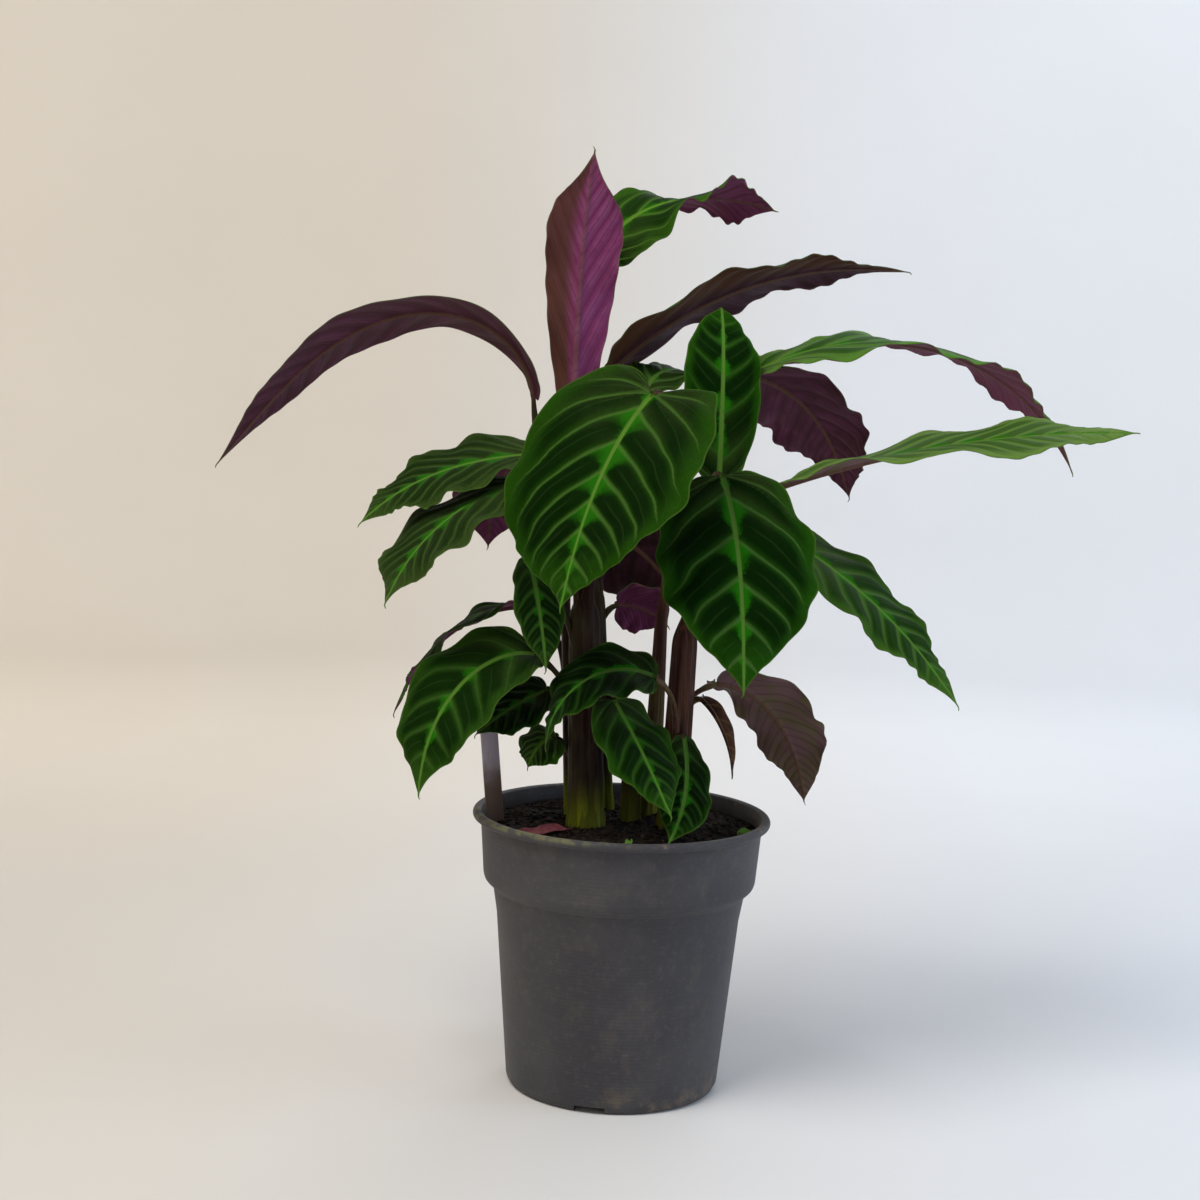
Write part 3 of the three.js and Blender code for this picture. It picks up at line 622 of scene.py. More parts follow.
def pot_finish(colours):
    finish = Finish("pot_plastic", Specular_IOR_Level=0.35, Sheen_Weight=0.05, Sheen_Roughness=0.6)
    place = finish.place()
    x, y, z = (finish.axis(place, k) for k in range(3))
    clouds = finish.noise(place, 14.0, 5.0, 0.6)
    specks = finish.noise(place, 260.0, 4.0, 0.7)
    dust = finish.blend(colours.pot, colours.pot_dust,
                        finish.step(clouds, 0.4, 0.75) * 0.5 + finish.step(specks, 0.5, 0.75) * 0.45)
    dirt = finish.noise(place, 46.0, 5.0, 0.65)
    foot = finish.step(z, 0.02, 0.0)
    rim = finish.step(z, 0.1725, 0.1745)
    smear = finish.step(dirt, 0.52, 0.66) * (foot * 0.5 + rim * 0.8 + 0.1)
    colour = finish.blend(dust, colours.dirt, smear)
    # algae on the lip at the front left
    side = finish.step(x * 0.72 + y * 0.7, -0.05, -0.08)
    algae = finish.step(finish.noise(place, 110.0, 4.0), 0.4, 0.62) * rim * side
    colour = finish.blend(colour, colours.algae, algae * 0.85)
    finish.paint("Base Color", colour)
    finish.paint("Roughness", 0.55 + clouds * 0.2 + smear * 0.2)
    rings = finish.math("SINE", z * 2600.0)
    finish.bump(specks * 0.4 + dirt * smear * 3.0 + rings * 0.12, 0.0004, 0.6)
    return finish.material


def soil_finish():
    finish = Finish("soil", Roughness=0.95, Specular_IOR_Level=0.15)
    place = finish.place()
    clods = finish.noise(place, 120.0, 6.0, 0.7)
    dark = finish.blend((0.005, 0.0035, 0.003), (0.035, 0.02, 0.012), finish.step(clods, 0.4, 0.8))
    finish.paint("Base Color", finish.blend(dark, (0.13, 0.09, 0.06), finish.value("tone")))
    finish.bump(clods, 0.002, 0.9)
    return finish.material


def label_finish(colours):
    finish = Finish("label", Roughness=0.5, Specular_IOR_Level=0.45)
    place = finish.place()
    height = finish.value("height")
    scuffs = finish.noise(place * (500.0, 500.0, 60.0), 1.0, 3.0)
    blots = finish.noise(place, 110.0, 4.0)
    colour = finish.blend(colours.label, (0.3, 0.28, 0.31), finish.step(scuffs, 0.5, 0.8) * 0.35)
    stain = finish.step(height + (blots - 0.5) * 20.0, 44.0, 22.0)
    colour = finish.blend(colour, (0.15, 0.085, 0.035), stain * 0.85)
    spot = finish.step(blots, 0.66, 0.72)
    colour = finish.blend(colour, (0.2, 0.1, 0.03), spot * 0.7)
    finish.paint("Base Color", colour)
    finish.paint("Roughness", 0.45 + scuffs * 0.2)
    finish.bump(scuffs, 0.0002, 0.4)
    return finish.material


def litter_finish(name, first, second):
    finish = Finish(name, Roughness=0.7, Specular_IOR_Level=0.25)
    grain = finish.noise(finish.place(), 240.0, 4.0)
    finish.paint("Base Color", finish.blend(first, second, finish.step(grain, 0.35, 0.7)))
    finish.bump(grain, 0.0006, 0.7)
    return finish.material


# ---- leaf blades
def midrib_frame(leaf, s):
    """Unit vectors along the midrib, to its right and out of the upper face."""
    arched = 1 - (1 - np.clip(s, 0, 1)) ** (1 / leaf.bend)
    turned = arched if leaf.bend < ARCH_BEND else np.clip(s, 0, 1) ** leaf.bend
    slope = np.radians(mix(leaf.slope[0], leaf.slope[1], turned))
    heading = np.radians(leaf.heading[0] + leaf.heading[1] * s)
    roll = np.radians(mix(leaf.roll[0], leaf.roll[1], s))[:, None]
    flat = np.cos(slope)
    t = np.stack([flat * np.cos(heading), flat * np.sin(heading), np.sin(slope)], -1)
    level = np.stack([np.sin(heading), -np.cos(heading), 0 * heading], -1)
    up = np.cross(level, t)
    side = level * np.cos(roll) + up * np.sin(roll)
    return t, side, up * np.cos(roll) - level * np.sin(roll)


def midrib_points(leaf, s):
    middle = (np.arange(MIDRIB_STEPS) + 0.5) / MIDRIB_STEPS
    steps = midrib_frame(leaf, middle)[0] * leaf.length / MIDRIB_STEPS
    knots = np.vstack([leaf.neck, leaf.neck + np.cumsum(steps, axis=0)])
    places = np.linspace(0, 1, MIDRIB_STEPS + 1)
    return np.stack([np.interp(s, places, knots[:, k]) for k in range(3)], -1)


def half_width(leaf, s):
    widest = leaf.widest
    rising = np.sqrt(np.clip(1 - ((widest - s) / widest) ** 2, 0, 1))
    falling = np.clip(1 - ((s - widest) / (1 - widest)) ** 2, 0, 1) ** TIP_POWER
    share = np.where(s < widest, rising, falling)
    drawn_out = 1 - leaf.drip * smooth(s, 0.8, 0.95)
    return np.maximum(mix(leaf.neck_radius(), 0.5, s), leaf.width / 2 * share * drawn_out)


def veins_before(leaf, s):
    """How many side veins leave the midrib before s."""
    return leaf.veins * s * (1 + VEIN_CROWDING * s) / (1 + VEIN_CROWDING)


def vein_place(leaf, along, reach, half):
    """Which side vein a point lies on, and how far apart the veins are there in millimetres.

    along and reach are the point's distances from the neck, along the midrib and out from
    it. The first number is whole on a vein. The veins of the base spread out from the neck.
    """
    curl = along - 0.35 * half * (reach / half) ** 4
    start = (curl - leaf.slant * reach) / leaf.length
    spread = curl / np.maximum(reach, 0.5) - leaf.slant
    count = np.where(start > 0, veins_before(leaf, start), BASE_VEINS * spread)
    apart = leaf.length * 1.2 / (leaf.veins * (1 + 2 * VEIN_CROWDING * np.maximum(start, 0)))
    near = reach / BASE_VEINS * 0.8
    return np.maximum(count, -4.0) + 0.5, np.where(start > 0, apart, np.minimum(near, apart))


def blade_fields(leaf, s, v):
    """Upper face of a blade on the grid of s (rows) and v (columns), and what varies on it."""
    t, side, normal = (axis[:, None, :] for axis in midrib_frame(leaf, s))
    s, v = s[:, None], v[None, :]
    across = np.abs(v)
    half = half_width(leaf, s)
    reach = across * half
    back = np.where(s > 0, leaf.lobe * 2 * reach * (1 - s) ** 4, 0)
    vein, apart = vein_place(leaf, s * leaf.length - back, reach, half)
    vein = vein + np.where(v > 0, VEIN_SHIFT, 0.0)
    belly = np.abs(np.sin(math.pi * vein))
    margin = veins_before(leaf, s)
    scallop = SCALLOP * leaf.frill * np.sin(2 * math.pi * margin + 1.9 * v) * smooth(half, 6, 18)
    fold = np.radians(mix(leaf.fold[0], leaf.fold[1], s))
    phase = leaf.order * WAVE_TURN + np.where(v > 0, 0.0, WAVE_SHIFT)
    ripple = np.sin(2 * math.pi * WAVES * s + phase) * np.minimum(1, half / WAVE_FADE)
    lift = half * (across * np.sin(fold) - CROWN * across**2) + leaf.wave * ripple * across**2
    quilt = leaf.width / 52 * (belly - 0.6) * smooth(reach, 1, 9) * smooth(half - reach, 0, 6)
    frill = leaf.frill * FRILL_HEIGHT * np.sin(2 * math.pi * vein + leaf.order) * across**5
    frill = frill * smooth(half, 5, 16)
    groove = -GROOVE_DEPTH * np.exp(-((reach / GROOVE_WIDTH) ** 2)) * smooth(half, 2, 8)
    points = (
        midrib_points(leaf, s[:, 0])[:, None, :]
        - t * back[..., None]
        + side * (v * half * (1 + scallop) * np.cos(fold))[..., None]
        + normal * (lift + quilt + frill + groove)[..., None]
    )
    # painted shade on the right half of the underside
    bronze = smooth(v * leaf.bronze, 0.05, 0.5) * (1 - 0.15 * s)
    ones = np.ones_like(v * s)
    # glow, bronze and sun carry painted light and shade to the finishes
    values = {
        "across": reach, "edge": half - reach, "along": s * ones, "vein": vein,
        "pitch": apart * ones, "glow": leaf.glow * (1 - 0.2 * v) * ones, "bronze": bronze,
    }
    for key in ("contrast", "fresh", "pale", "sun"):
        values[key] = getattr(leaf, key) * ones
    return points, values


def drip_tip(leaf, points):
    """Rows that end the blade in a fine curled point."""
    rows, reach = 4, 2.5
    t, side, normal = midrib_frame(leaf, np.array([1.0]))
    end = points[-1].mean(axis=0)
    offsets = points[-1] - end
    added = []
    for k in range(1, rows + 1):
        u = k / rows
        curl = 0.6 * reach * u * u
        centre = end + t[0] * reach * u + side[0] * curl * math.sin(leaf.order * 1.3)
        added.append(centre - normal[0] * curl * 0.6 + offsets * (1 - 0.7 * u))
    return np.array(added)


def build_blade(leaf, settings, finishes):
    rows = settings.blade_rows if leaf.length > BIG_LEAF else int(settings.blade_rows * 0.7)
    columns = settings.blade_columns | 1
    even = np.linspace(0, 1, rows + 1)
    s = mix(even, (1 - np.cos(math.pi * even)) / 2, 0.5)
    w = np.linspace(-1, 1, columns)
    v = np.sign(w) * np.abs(w) ** 1.2
    upper, values = blade_fields(leaf, s, v)
    tip = drip_tip(leaf, upper)
    upper = np.concatenate([upper, tip])
    values = {key: np.concatenate([grid, np.repeat(grid[-1:], len(tip), 0)])
              for key, grid in values.items()}
    out = unit(np.cross(np.gradient(upper, axis=1), np.gradient(upper, axis=0)))
    left_over = 1 - values["along"]
    thick = settings.blade_thickness / MM * (1 - 0.4 * np.abs(v)[None, :])
    rib = np.exp(-((values["across"] / (0.9 + 0.9 * left_over)) ** 2))
    rib = RIB_HEIGHT * left_over**0.8 * rib
    points, faces, slots = closed_sheet(upper, upper - out * (thick + rib)[..., None])
    both = {key: np.tile(grid.reshape(-1), 2) for key, grid in values.items()}
    slot = "dry_leaf" if leaf.name == "leaf_withered" else "leaf"
    piece = make_piece(leaf.name + "_blade", points, faces, finishes[slot], slots, both)
    sharpen_margin(piece.data, len(points) // 2, columns)
    seat(piece, slot, leaf.name)


def sharpen_margin(mesh, count, wide):
    """Edges between a face of the blade and its thin margin shade as sharp ones."""
    ends = np.zeros(len(mesh.edges) * 2, np.int32)
    mesh.edges.foreach_get("vertices", ends)
    ends = ends.reshape(-1, 2)
    column = (ends % count) % wide
    on_margin = (column == 0) | (column == wide - 1)
    along_edge = on_margin.all(axis=1) & (np.abs(ends[:, 0] - ends[:, 1]) == wide)
    sharp = mesh.attributes.get("sharp_edge") or mesh.attributes.new("sharp_edge", "BOOLEAN", "EDGE")
    sharp.data.foreach_set("value", along_edge)


# ---- shoots and stalks
def bundle_point(shoot, share):
    foot = np.array([*shoot["foot"], SOIL_EDGE], float)
    return foot + (np.array(shoot["fork"], float) - foot) * share


def stalk_path(leaf, shoot, ring_angle):
    """From the soil up the bundle's outside, then in one curve into the blade's midrib."""
    fork_height = shoot["fork"][2] - SOIL_EDGE
    share = float(np.clip((leaf.neck[2] - 70 - SOIL_EDGE) / fork_height, 0.1, 0.88))
    start = bundle_point(shoot, share)
    spread = mix(shoot["radius"][0], shoot["radius"][1], share) * 0.4
    turn = math.atan2(leaf.neck[1] - start[1], leaf.neck[0] - start[0])
    start = start + spread * np.array([math.cos(turn), math.sin(turn), 0])
    t, _, normal = (axis[0] for axis in midrib_frame(leaf, np.array([0.0])))
    end = leaf.neck + t * 2.0 - normal * 1.5
    reach = np.linalg.norm(end - start)
    axis = unit(bundle_point(shoot, 1) - bundle_point(shoot, 0))
    rising = start + axis * reach * 0.5
    arriving = end - t * min(STALK_RUN_IN, reach * 0.3)
    upper = bezier(start, rising, arriving, end, STALK_STEPS["curve"])
    around = np.array([math.cos(ring_angle), math.sin(ring_angle), 0])
    lower = []
    for k in range(STALK_STEPS["foot"] + 1):
        u = k / STALK_STEPS["foot"]
        place = mix(-HOLE_DEPTH / fork_height, share, u)
        radius = mix(shoot["radius"][0], shoot["radius"][1], max(place, 0)) * 0.55
        point = bundle_point(shoot, place) + around * radius
        lower.append(mix(point, start, smooth(u, 0.55, 1.0)))
    return np.vstack([lower[:-1], upper])


def stalk_values(points, along, shoot, green):
    """What varies on a stalk; green is how yellow-green its foot is."""
    return {
        "along": along,
        "height": points[:, 2] - SOIL_EDGE,
        "tone": np.full(len(points), shoot in LIGHT_SHOOTS),
        "green_base": np.full(len(points), green),
    }


def build_stalk(leaf, shoot, ring_angle, thick, finish):
    path = stalk_path(leaf, shoot, ring_angle)
    lengths = np.concatenate([[0], np.cumsum(np.linalg.norm(np.diff(path, axis=0), axis=1))])
    even = np.linspace(0, lengths[-1], STALK_STEPS["rows"])
    path = np.stack([np.interp(even, lengths, path[:, k]) for k in range(3)], -1)
    along = even / lengths[-1]
    thin = 1.4
    radii = thin + (thick - thin) * (1 - along) ** 1.1
    radii = radii + 0.8 * np.exp(-(((along - 0.94) / 0.035) ** 2))
    points, faces, share = tube(path, radii, STALK_SIDES, 7, 0.07)
    values = stalk_values(points, share, leaf.shoot, 1.0 if math.sin(ring_angle) < -0.2 else 0.25)
    piece = make_piece(leaf.name.replace("leaf_", "stalk_"), points, faces, [finish], values=values)
    seat(piece, "stalk")


def build_shoot(name, finish):
    """The bundle's core of older sheaths, and round it a stalk for each of its leaves."""
    shoot = SHOOTS[name]
    wide, narrow = shoot["radius"]
    share = np.linspace(-HOLE_DEPTH / (shoot["fork"][2] - SOIL_EDGE), 1.04, CORE_ROWS)
    path = np.array([bundle_point(shoot, u) for u in share])
    radii = np.array([mix(wide, narrow, max(u, 0)) for u in share]) * 0.8
    radii = radii * (1 - 0.75 * smooth(share, 0.86, 1.04)) * (1 + 0.12 * smooth(share, 0.12, 0.0))
    points, faces, along = tube(path, radii, 40, 9, 0.16)
    values = stalk_values(points, along * 0.8, name, 0.5)
    core = make_piece(f"shoot_{name}_core", points, faces, [finish], values=values)
    seat(core, "stalk", f"shoot_{name}")
    centre = bundle_point(shoot, 1.0)

    def bearing(leaf):
        return math.atan2(leaf.neck[1] - centre[1], leaf.neck[0] - centre[0])

    leaves = sorted((leaf for leaf in LEAVES if leaf.shoot == name), key=bearing)
    count = len(leaves)
    thick = float(np.clip(0.55 * wide * math.pi / max(count, 3) * 1.25, 3.4, 6.2))
    for k, leaf in enumerate(leaves):
        even = -math.pi + 2 * math.pi * (k + 0.5) / count
        build_stalk(leaf, shoot, bearing(leaf) if count < 3 else even, thick, finish)


# ---- pot, label and soil
def pot_profile():
    outside = [
        (0, 0), (PAD_RADIUS, 0), (PAD_RADIUS + 2, 1.5), (FOOT_RADIUS - 8, 1.5),
        (FOOT_RADIUS - 6, 0), (FOOT_RADIUS - 2, 0), (FOOT_RADIUS, 1.2), (FOOT_RADIUS + 1.5, 4),
        (SHOULDER[0] - 2.9, SHOULDER[1] - 17), SHOULDER, (COLLAR[0] - 1, COLLAR[1] - 3), COLLAR,
        (RIM_RADIUS - 5.4, POT_HEIGHT - 5.5), (RIM_RADIUS - 0.8, POT_HEIGHT - 5),
        (RIM_RADIUS, POT_HEIGHT - 2.5), (RIM_RADIUS - 1, POT_HEIGHT - 0.5),
        (RIM_RADIUS - 2.5, POT_HEIGHT), (RIM_RADIUS - 5.6, POT_HEIGHT - 0.5),
    ]
    inside = [
        (RIM_RADIUS - 7, POT_HEIGHT - 6), (COLLAR[0] - POT_WALL, COLLAR[1] + 1),
        (COLLAR[0] - POT_WALL - 0.6, COLLAR[1] - 1.5), (SHOULDER[0] - POT_WALL, SHOULDER[1] + 1),
        (FOOT_RADIUS - 0.6, POT_FLOOR + 1), (FOOT_RADIUS - 2, POT_FLOOR), (0, POT_FLOOR),
    ]
    return rounded(outside + inside, POT_ROUNDING)


def cut_notches(pot):
    """Drain notches through the pot's foot."""
    points, faces = [], []
    half, low, high = NOTCHES["width"] / 2, -5.0, NOTCHES["height"]
    corners = ((-half, low), (half, low), (half - 1, high), (-half + 1, high))
    quads = [(3, 2, 1, 0), (4, 5, 6, 7), (1, 5, 4, 0), (2, 6, 5, 1), (3, 7, 6, 2), (0, 4, 7, 3)]
    for k in range(NOTCHES["count"]):
        turn = math.radians(NOTCHES["turn"] + 360 / NOTCHES["count"] * k)
        out = np.array([math.cos(turn), math.sin(turn), 0])
        side = np.array([-math.sin(turn), math.cos(turn), 0])
        base = len(points)
        for far in (-0.5, 0.5):
            centre = out * (FOOT_RADIUS + far * NOTCHES["depth"])
            for across, height in corners:
                points.append(centre + side * across + np.array([0, 0, height]))
        faces += [[base + i for i in quad] for quad in quads]
    cutter = make_piece("notch_cutter", np.array(points), faces, [], smooth_faces=False)
    cut = pot.modifiers.new("notches", "BOOLEAN")
    cut.operation, cut.object, cut.solver = "DIFFERENCE", cutter, "EXACT"
    dressed = pot.evaluated_get(bpy.context.evaluated_depsgraph_get())
    mesh = bpy.data.meshes.new_from_object(dressed)
    pot.modifiers.clear()
    pot.data = mesh
    mesh.set_sharp_from_angle(angle=math.radians(38))
    bpy.data.objects.remove(cutter)


def build_pot(finish):
    points, faces = revolve(pot_profile(), POT_SIDES)
    pot = make_piece("pot_shell", points, faces, [finish])
    cut_notches(pot)
    seat(pot, "pot", "pot")


def soil_height(x, y):
    """Height of the soil's surface, with its lumps, at a place in the pot."""
    radius = np.hypot(x, y) / SOIL_SLOPE_REACH
    lumps = np.zeros_like(x)
    draw = np.random.default_rng(23)
    for scale, height in SOIL_WAVES:
        for _ in range(4):
            turn, phase = draw.uniform(0, 2 * math.pi, 2)
            wave = np.sin(scale * (x * math.cos(turn) + y * math.sin(turn)) + phase)
            lumps = lumps + height * 0.5 * wave
    return SOIL_EDGE + SOIL_CROWN * (1 - radius**2) + lumps * (0.4 + 0.6 * (1 - radius**6))


def build_soil(finish):
    angles = np.arange(SOIL_SIDES) * 2 * math.pi / SOIL_SIDES
    radii = SOIL_REACH * np.linspace(1, 0.01, SOIL_RINGS) ** 0.9
    x = (radii[:, None] * np.cos(angles)).ravel()
    y = (radii[:, None] * np.sin(angles)).ravel()
    sides = [
        np.stack([radius * np.cos(angles), radius * np.sin(angles), np.full(SOIL_SIDES, height)], -1)
        for radius, height in ((FOOT_RADIUS, POT_FLOOR + 3), (SOIL_SHOULDER, SHOULDER[1]))
    ]
    points = np.vstack([*sides, np.stack([x, y, soil_height(x, y)], -1)])
    faces = ring_faces(SOIL_RINGS + 2, SOIL_SIDES)
    faces.append(list(range(SOIL_SIDES))[::-1])
    faces.append([(SOIL_RINGS + 1) * SOIL_SIDES + k for k in range(SOIL_SIDES)])
    values = {"tone": np.zeros(len(points))}
    soil = make_piece("soil_bed", points, faces, [finish], values=values)
    seat(soil, "soil", "soil")


def lump(centre, size, draw, stretch):
    """An irregular crumb: two rings between two poles, squeezed and turned at random."""
    sides = CRUMB_SIDES
    points = [(0, 0, -1.0)]
    for ring in (1, 2):
        tilt = math.pi * ring / 3 - math.pi / 2
        flat = math.cos(tilt)
        for k in range(sides):
            a = 2 * math.pi * (k + 0.5 * ring) / sides
            points.append((flat * math.cos(a), flat * math.sin(a), math.sin(tilt)))
    points.append((0, 0, 1.0))
    points = np.array(points) * draw.uniform(0.7, 1.25, (len(points), 1))
    points = points * np.array([stretch, 1.0, 0.7]) * size
    turn = draw.uniform(0, 2 * math.pi)
    c, s = math.cos(turn), math.sin(turn)
    turned = points @ np.array([[c, s, 0], [-s, c, 0], [0, 0, 1]])
    upper, top = 1 + sides, 1 + 2 * sides
    faces = []
    for k in range(sides):
        n = (k + 1) % sides
        faces += [[0, 1 + n, 1 + k], [1 + k, 1 + n, upper + n, upper + k]]
        faces.append([top, upper + k, upper + n])
    return turned + centre, faces


def scatter(name, finish, slot, count, sizes, tones, seed, stretch=(1.0, 1.6)):
    """Crumbs strewn over the soil, in one piece."""
    draw = np.random.default_rng(seed)
    points, faces, tone = [], [], []
    total = 0
    for _ in range(count):
        radius = CRUMB_REACH * math.sqrt(draw.uniform(0, 1))
        angle = draw.uniform(0, 2 * math.pi)
        x, y = radius * math.cos(angle), radius * math.sin(angle)
        size = draw.uniform(*sizes)
        height = float(soil_height(np.array([x]), np.array([y]))[0]) + size * 0.15
        made, sides = lump(np.array([x, y, height]), size, draw, draw.uniform(*stretch))
        points.append(made)
        faces += [[total + i for i in side] for side in sides]
        tone.append(np.full(len(made), draw.uniform(*tones)))
        total += len(made)
    piece = make_piece(name, np.vstack(points), faces, [finish], values={"tone": np.concatenate(tone)})
    seat(piece, slot)


def build_scrap(finish, centre, size, turn, name):
    """A small fallen piece of leaf, curled and lying on the soil."""
    v, u = np.meshgrid(np.linspace(-1, 1, 9), np.linspace(-1, 1, 15), indexing="ij")
    width = size[1] * np.sqrt(np.clip(1 - u**2, 0.01, 1))
    x, y = u * size[0], v * width
    c, s = math.cos(math.radians(turn)), math.sin(math.radians(turn))
    px, py = centre[0] + x * c - y * s, centre[1] + x * s + y * c
    pz = soil_height(px, py) + 1.5 + 1.6 * v**2 + 0.8 * np.sin(2.5 * u + v)
    top = np.stack([px, py, pz], -1)
    points, faces, _ = closed_sheet(top, top - np.array([0, 0, 0.5]))
    piece = make_piece(name, points, faces, [finish])
    seat(piece, "dry_leaf")


def build_label(finish):
    """The blank plastic label, slightly bowed, with rounded shoulders."""
    length, wide, thick = LABEL["length"], LABEL["width"] / 2, LABEL["thick"]
    heights = np.linspace(0, length, 40)
    w = np.linspace(-1, 1, 9)
    half = wide * smooth(heights / LABEL["point"], -0.2, 1.0)
    half = np.minimum(half, wide - 1.4 * smooth(heights, length - 2, length))
    x = half[:, None] * w[None, :]
    z = np.repeat(heights[:, None], len(w), 1)
    bow = 0.5 * (w[None, :] ** 2) + 0 * z
    front = np.stack([x, -thick / 2 + bow, z], -1)
    points, faces, _ = closed_sheet(front, front + np.array([0, thick, 0]), crossed=True)
    spin = Matrix.Rotation(math.radians(LABEL_TURN), 3, "Z")
    tilt = Matrix.Rotation(math.radians(LABEL_LEAN), 3, "Y")
    points = points @ np.array(spin).T - np.array([0, 0, LABEL["sunk"]])
    points = points @ np.array(tilt).T + np.array([*LABEL_AT, SOIL_EDGE])
    values = {"height": points[:, 2] - SOIL_EDGE}
    label = make_piece("label_strip", points, faces, [finish], values=values)
    label.data.set_sharp_from_angle(angle=math.radians(40))
    seat(label, "label", "label_stake")


# ---- the stage
def build_cove(finish):
    """A round pale floor that sweeps up into a wall all round, open at the top."""
    floor, sweep = COVE["floor"], COVE["sweep"]
    profile = [(0.0, 0.0), (400.0, 0.0), (1200.0, 0.0), (floor, 0.0)]
    for k in range(1, COVE["steps"] + 1):
        a = math.pi / 2 * k / COVE["steps"]
        profile.append((floor + sweep * math.sin(a), sweep - sweep * math.cos(a)))
    profile.append((floor + sweep, COVE["top"]))
    points, faces = revolve(profile, COVE["sides"])
    make_piece("cove", points, faces, [finish])


def area_light(name, place, aim, size, power, colour):
    lamp = bpy.data.lights.new(name, "AREA")
    lamp.shape, lamp.size = "DISK", size
    lamp.energy, lamp.color = power, colour
    holder = bpy.data.objects.new(name, lamp)
    holder.visible_camera = False
    bpy.context.scene.collection.objects.link(holder)
    back = unit(np.array(place, float) - np.array(aim, float))
    side = unit(np.cross([0, 0, 1], back))
    up = np.cross(back, side)
    spin = np.array([side, up, back]).T
    holder.matrix_world = Matrix.Translation(place) @ Matrix(spin.tolist()).to_4x4()


def place_camera():
    pitch, yaw, roll = (math.radians(a) for a in (CAMERA_PITCH, CAMERA_YAW, CAMERA_ROLL))
    flat = math.cos(pitch)
    ahead = np.array([math.sin(yaw) * flat, math.cos(yaw) * flat, -math.sin(pitch)])
    right = np.array([math.cos(yaw), -math.sin(yaw), 0])
    up = np.cross(right, ahead)
    turned_right = right * math.cos(roll) + up * math.sin(roll)
    turned_up = up * math.cos(roll) - right * math.sin(roll)
    lens = bpy.data.cameras.new("camera")
    lens.sensor_width, lens.lens = SENSOR, FOCAL_LENGTH
    lens.clip_start, lens.clip_end = 0.02, 20
    camera = bpy.data.objects.new("camera", lens)
    bpy.context.scene.collection.objects.link(camera)
    spin = Matrix(np.array([turned_right, turned_up, -ahead]).T.tolist()).to_4x4()
    camera.matrix_world = Matrix.Translation([c * MM for c in CAMERA_AT]) @ spin
    bpy.context.scene.camera = camera


# ---- what a user may change
def swatch(name, description, default):
    """A colour that a user may change."""
    return FloatVectorProperty(name=name, description=description, default=default,
                               subtype="COLOR", size=3, min=0.0, max=1.0)


class CalatheaFoliage(bpy.types.PropertyGroup):
    """Sizes and colours of the leaves and stalks."""

    blade_thickness: FloatProperty(
        name="Blade thickness", description="Thickness of a leaf blade beside its midrib",
        default=0.0006, unit="LENGTH", subtype="DISTANCE")
    blade_rows: IntProperty(
        name="Blade rows", description="Rows of faces along a large blade", default=100, min=20)
    blade_columns: IntProperty(
        name="Blade columns", description="Points across a blade", default=47, min=9)
    deep_green: swatch("Deep green", "Dark patches between the veins", (0.0018, 0.011, 0.001))
    mid_green: swatch("Mid green", "Margins, and the soft border of the veins", (0.009, 0.052, 0.002))
    # sage is partly painted sheen
    sage_and_sheen: swatch("Sage", "Dull green of the paler leaves", (0.036, 0.058, 0.014))
    fresh_green: swatch("Fresh green", "Tint of the younger leaves", (0.026, 0.088, 0.0015))
    flame_green: swatch("Flame green", "Bright flames beside the midrib", (0.014, 0.15, 0.003))
    vein: swatch("Vein", "Pale side veins", (0.06, 0.125, 0.03))
    midrib: swatch("Midrib", "Midrib of the upper face", (0.1, 0.22, 0.02))
    rim: swatch("Rim", "Thin edge of the blade", (0.07, 0.13, 0.02))
    dusk: swatch("Dusk purple", "Underside in the shade", (0.05, 0.021, 0.025))
    magenta: swatch("Magenta", "Underside of a leaf with light behind it", (0.19, 0.036, 0.11))
    pleat: swatch("Pleat", "Light bands along the veins of the underside", (0.28, 0.085, 0.2))
    # painted shade: the half of an underside in shade
    bronze: swatch("Bronze", "Half of an underside where green shows through", (0.075, 0.034, 0.015))
    under_pale: swatch("Pale underside", "Dull pink underside of the paler leaves", (0.15, 0.088, 0.088))
    under_olive: swatch("Olive underside", "Olive patches of the paler undersides", (0.115, 0.105, 0.045))
    rib_under: swatch("Rib", "Midrib of the underside", (0.11, 0.06, 0.035))
    # painted shade in the creases of the underside
    painted_crease_shade: swatch("Crease", "Fine dark creases of the underside", (0.03, 0.01, 0.02))
    # painted rim light on the edge of the underside
    painted_rim_light: swatch("Lower rim", "Edge of the underside", (0.16, 0.11, 0.06))
    stalk_dark: swatch("Dark stalk", "Dark maroon of the stalks", (0.016, 0.006, 0.005))
    stalk_light: swatch("Light stalk", "Lighter streaks of the stalks", (0.045, 0.02, 0.011))
    stalk_olive: swatch("Olive stalk", "Olive patches of the stalks", (0.04, 0.034, 0.011))
    stalk_base: swatch("Stalk base", "Yellow-green stalk at the soil", (0.2, 0.24, 0.01))


class CalatheaPot(bpy.types.PropertyGroup):
    """Colours of the pot and its label."""

    pot: swatch("Pot", "Matt anthracite plastic", (0.038, 0.036, 0.041))
    pot_dust: swatch("Dust", "Dusty film on the pot", (0.085, 0.08, 0.082))
    dirt: swatch("Dirt", "Dried soil on the lip and foot", (0.2, 0.15, 0.1))
    algae: swatch("Algae", "Yellow-green growth on the lip", (0.14, 0.14, 0.06))
    label: swatch("Label", "Pale plastic label", (0.56, 0.5, 0.57))


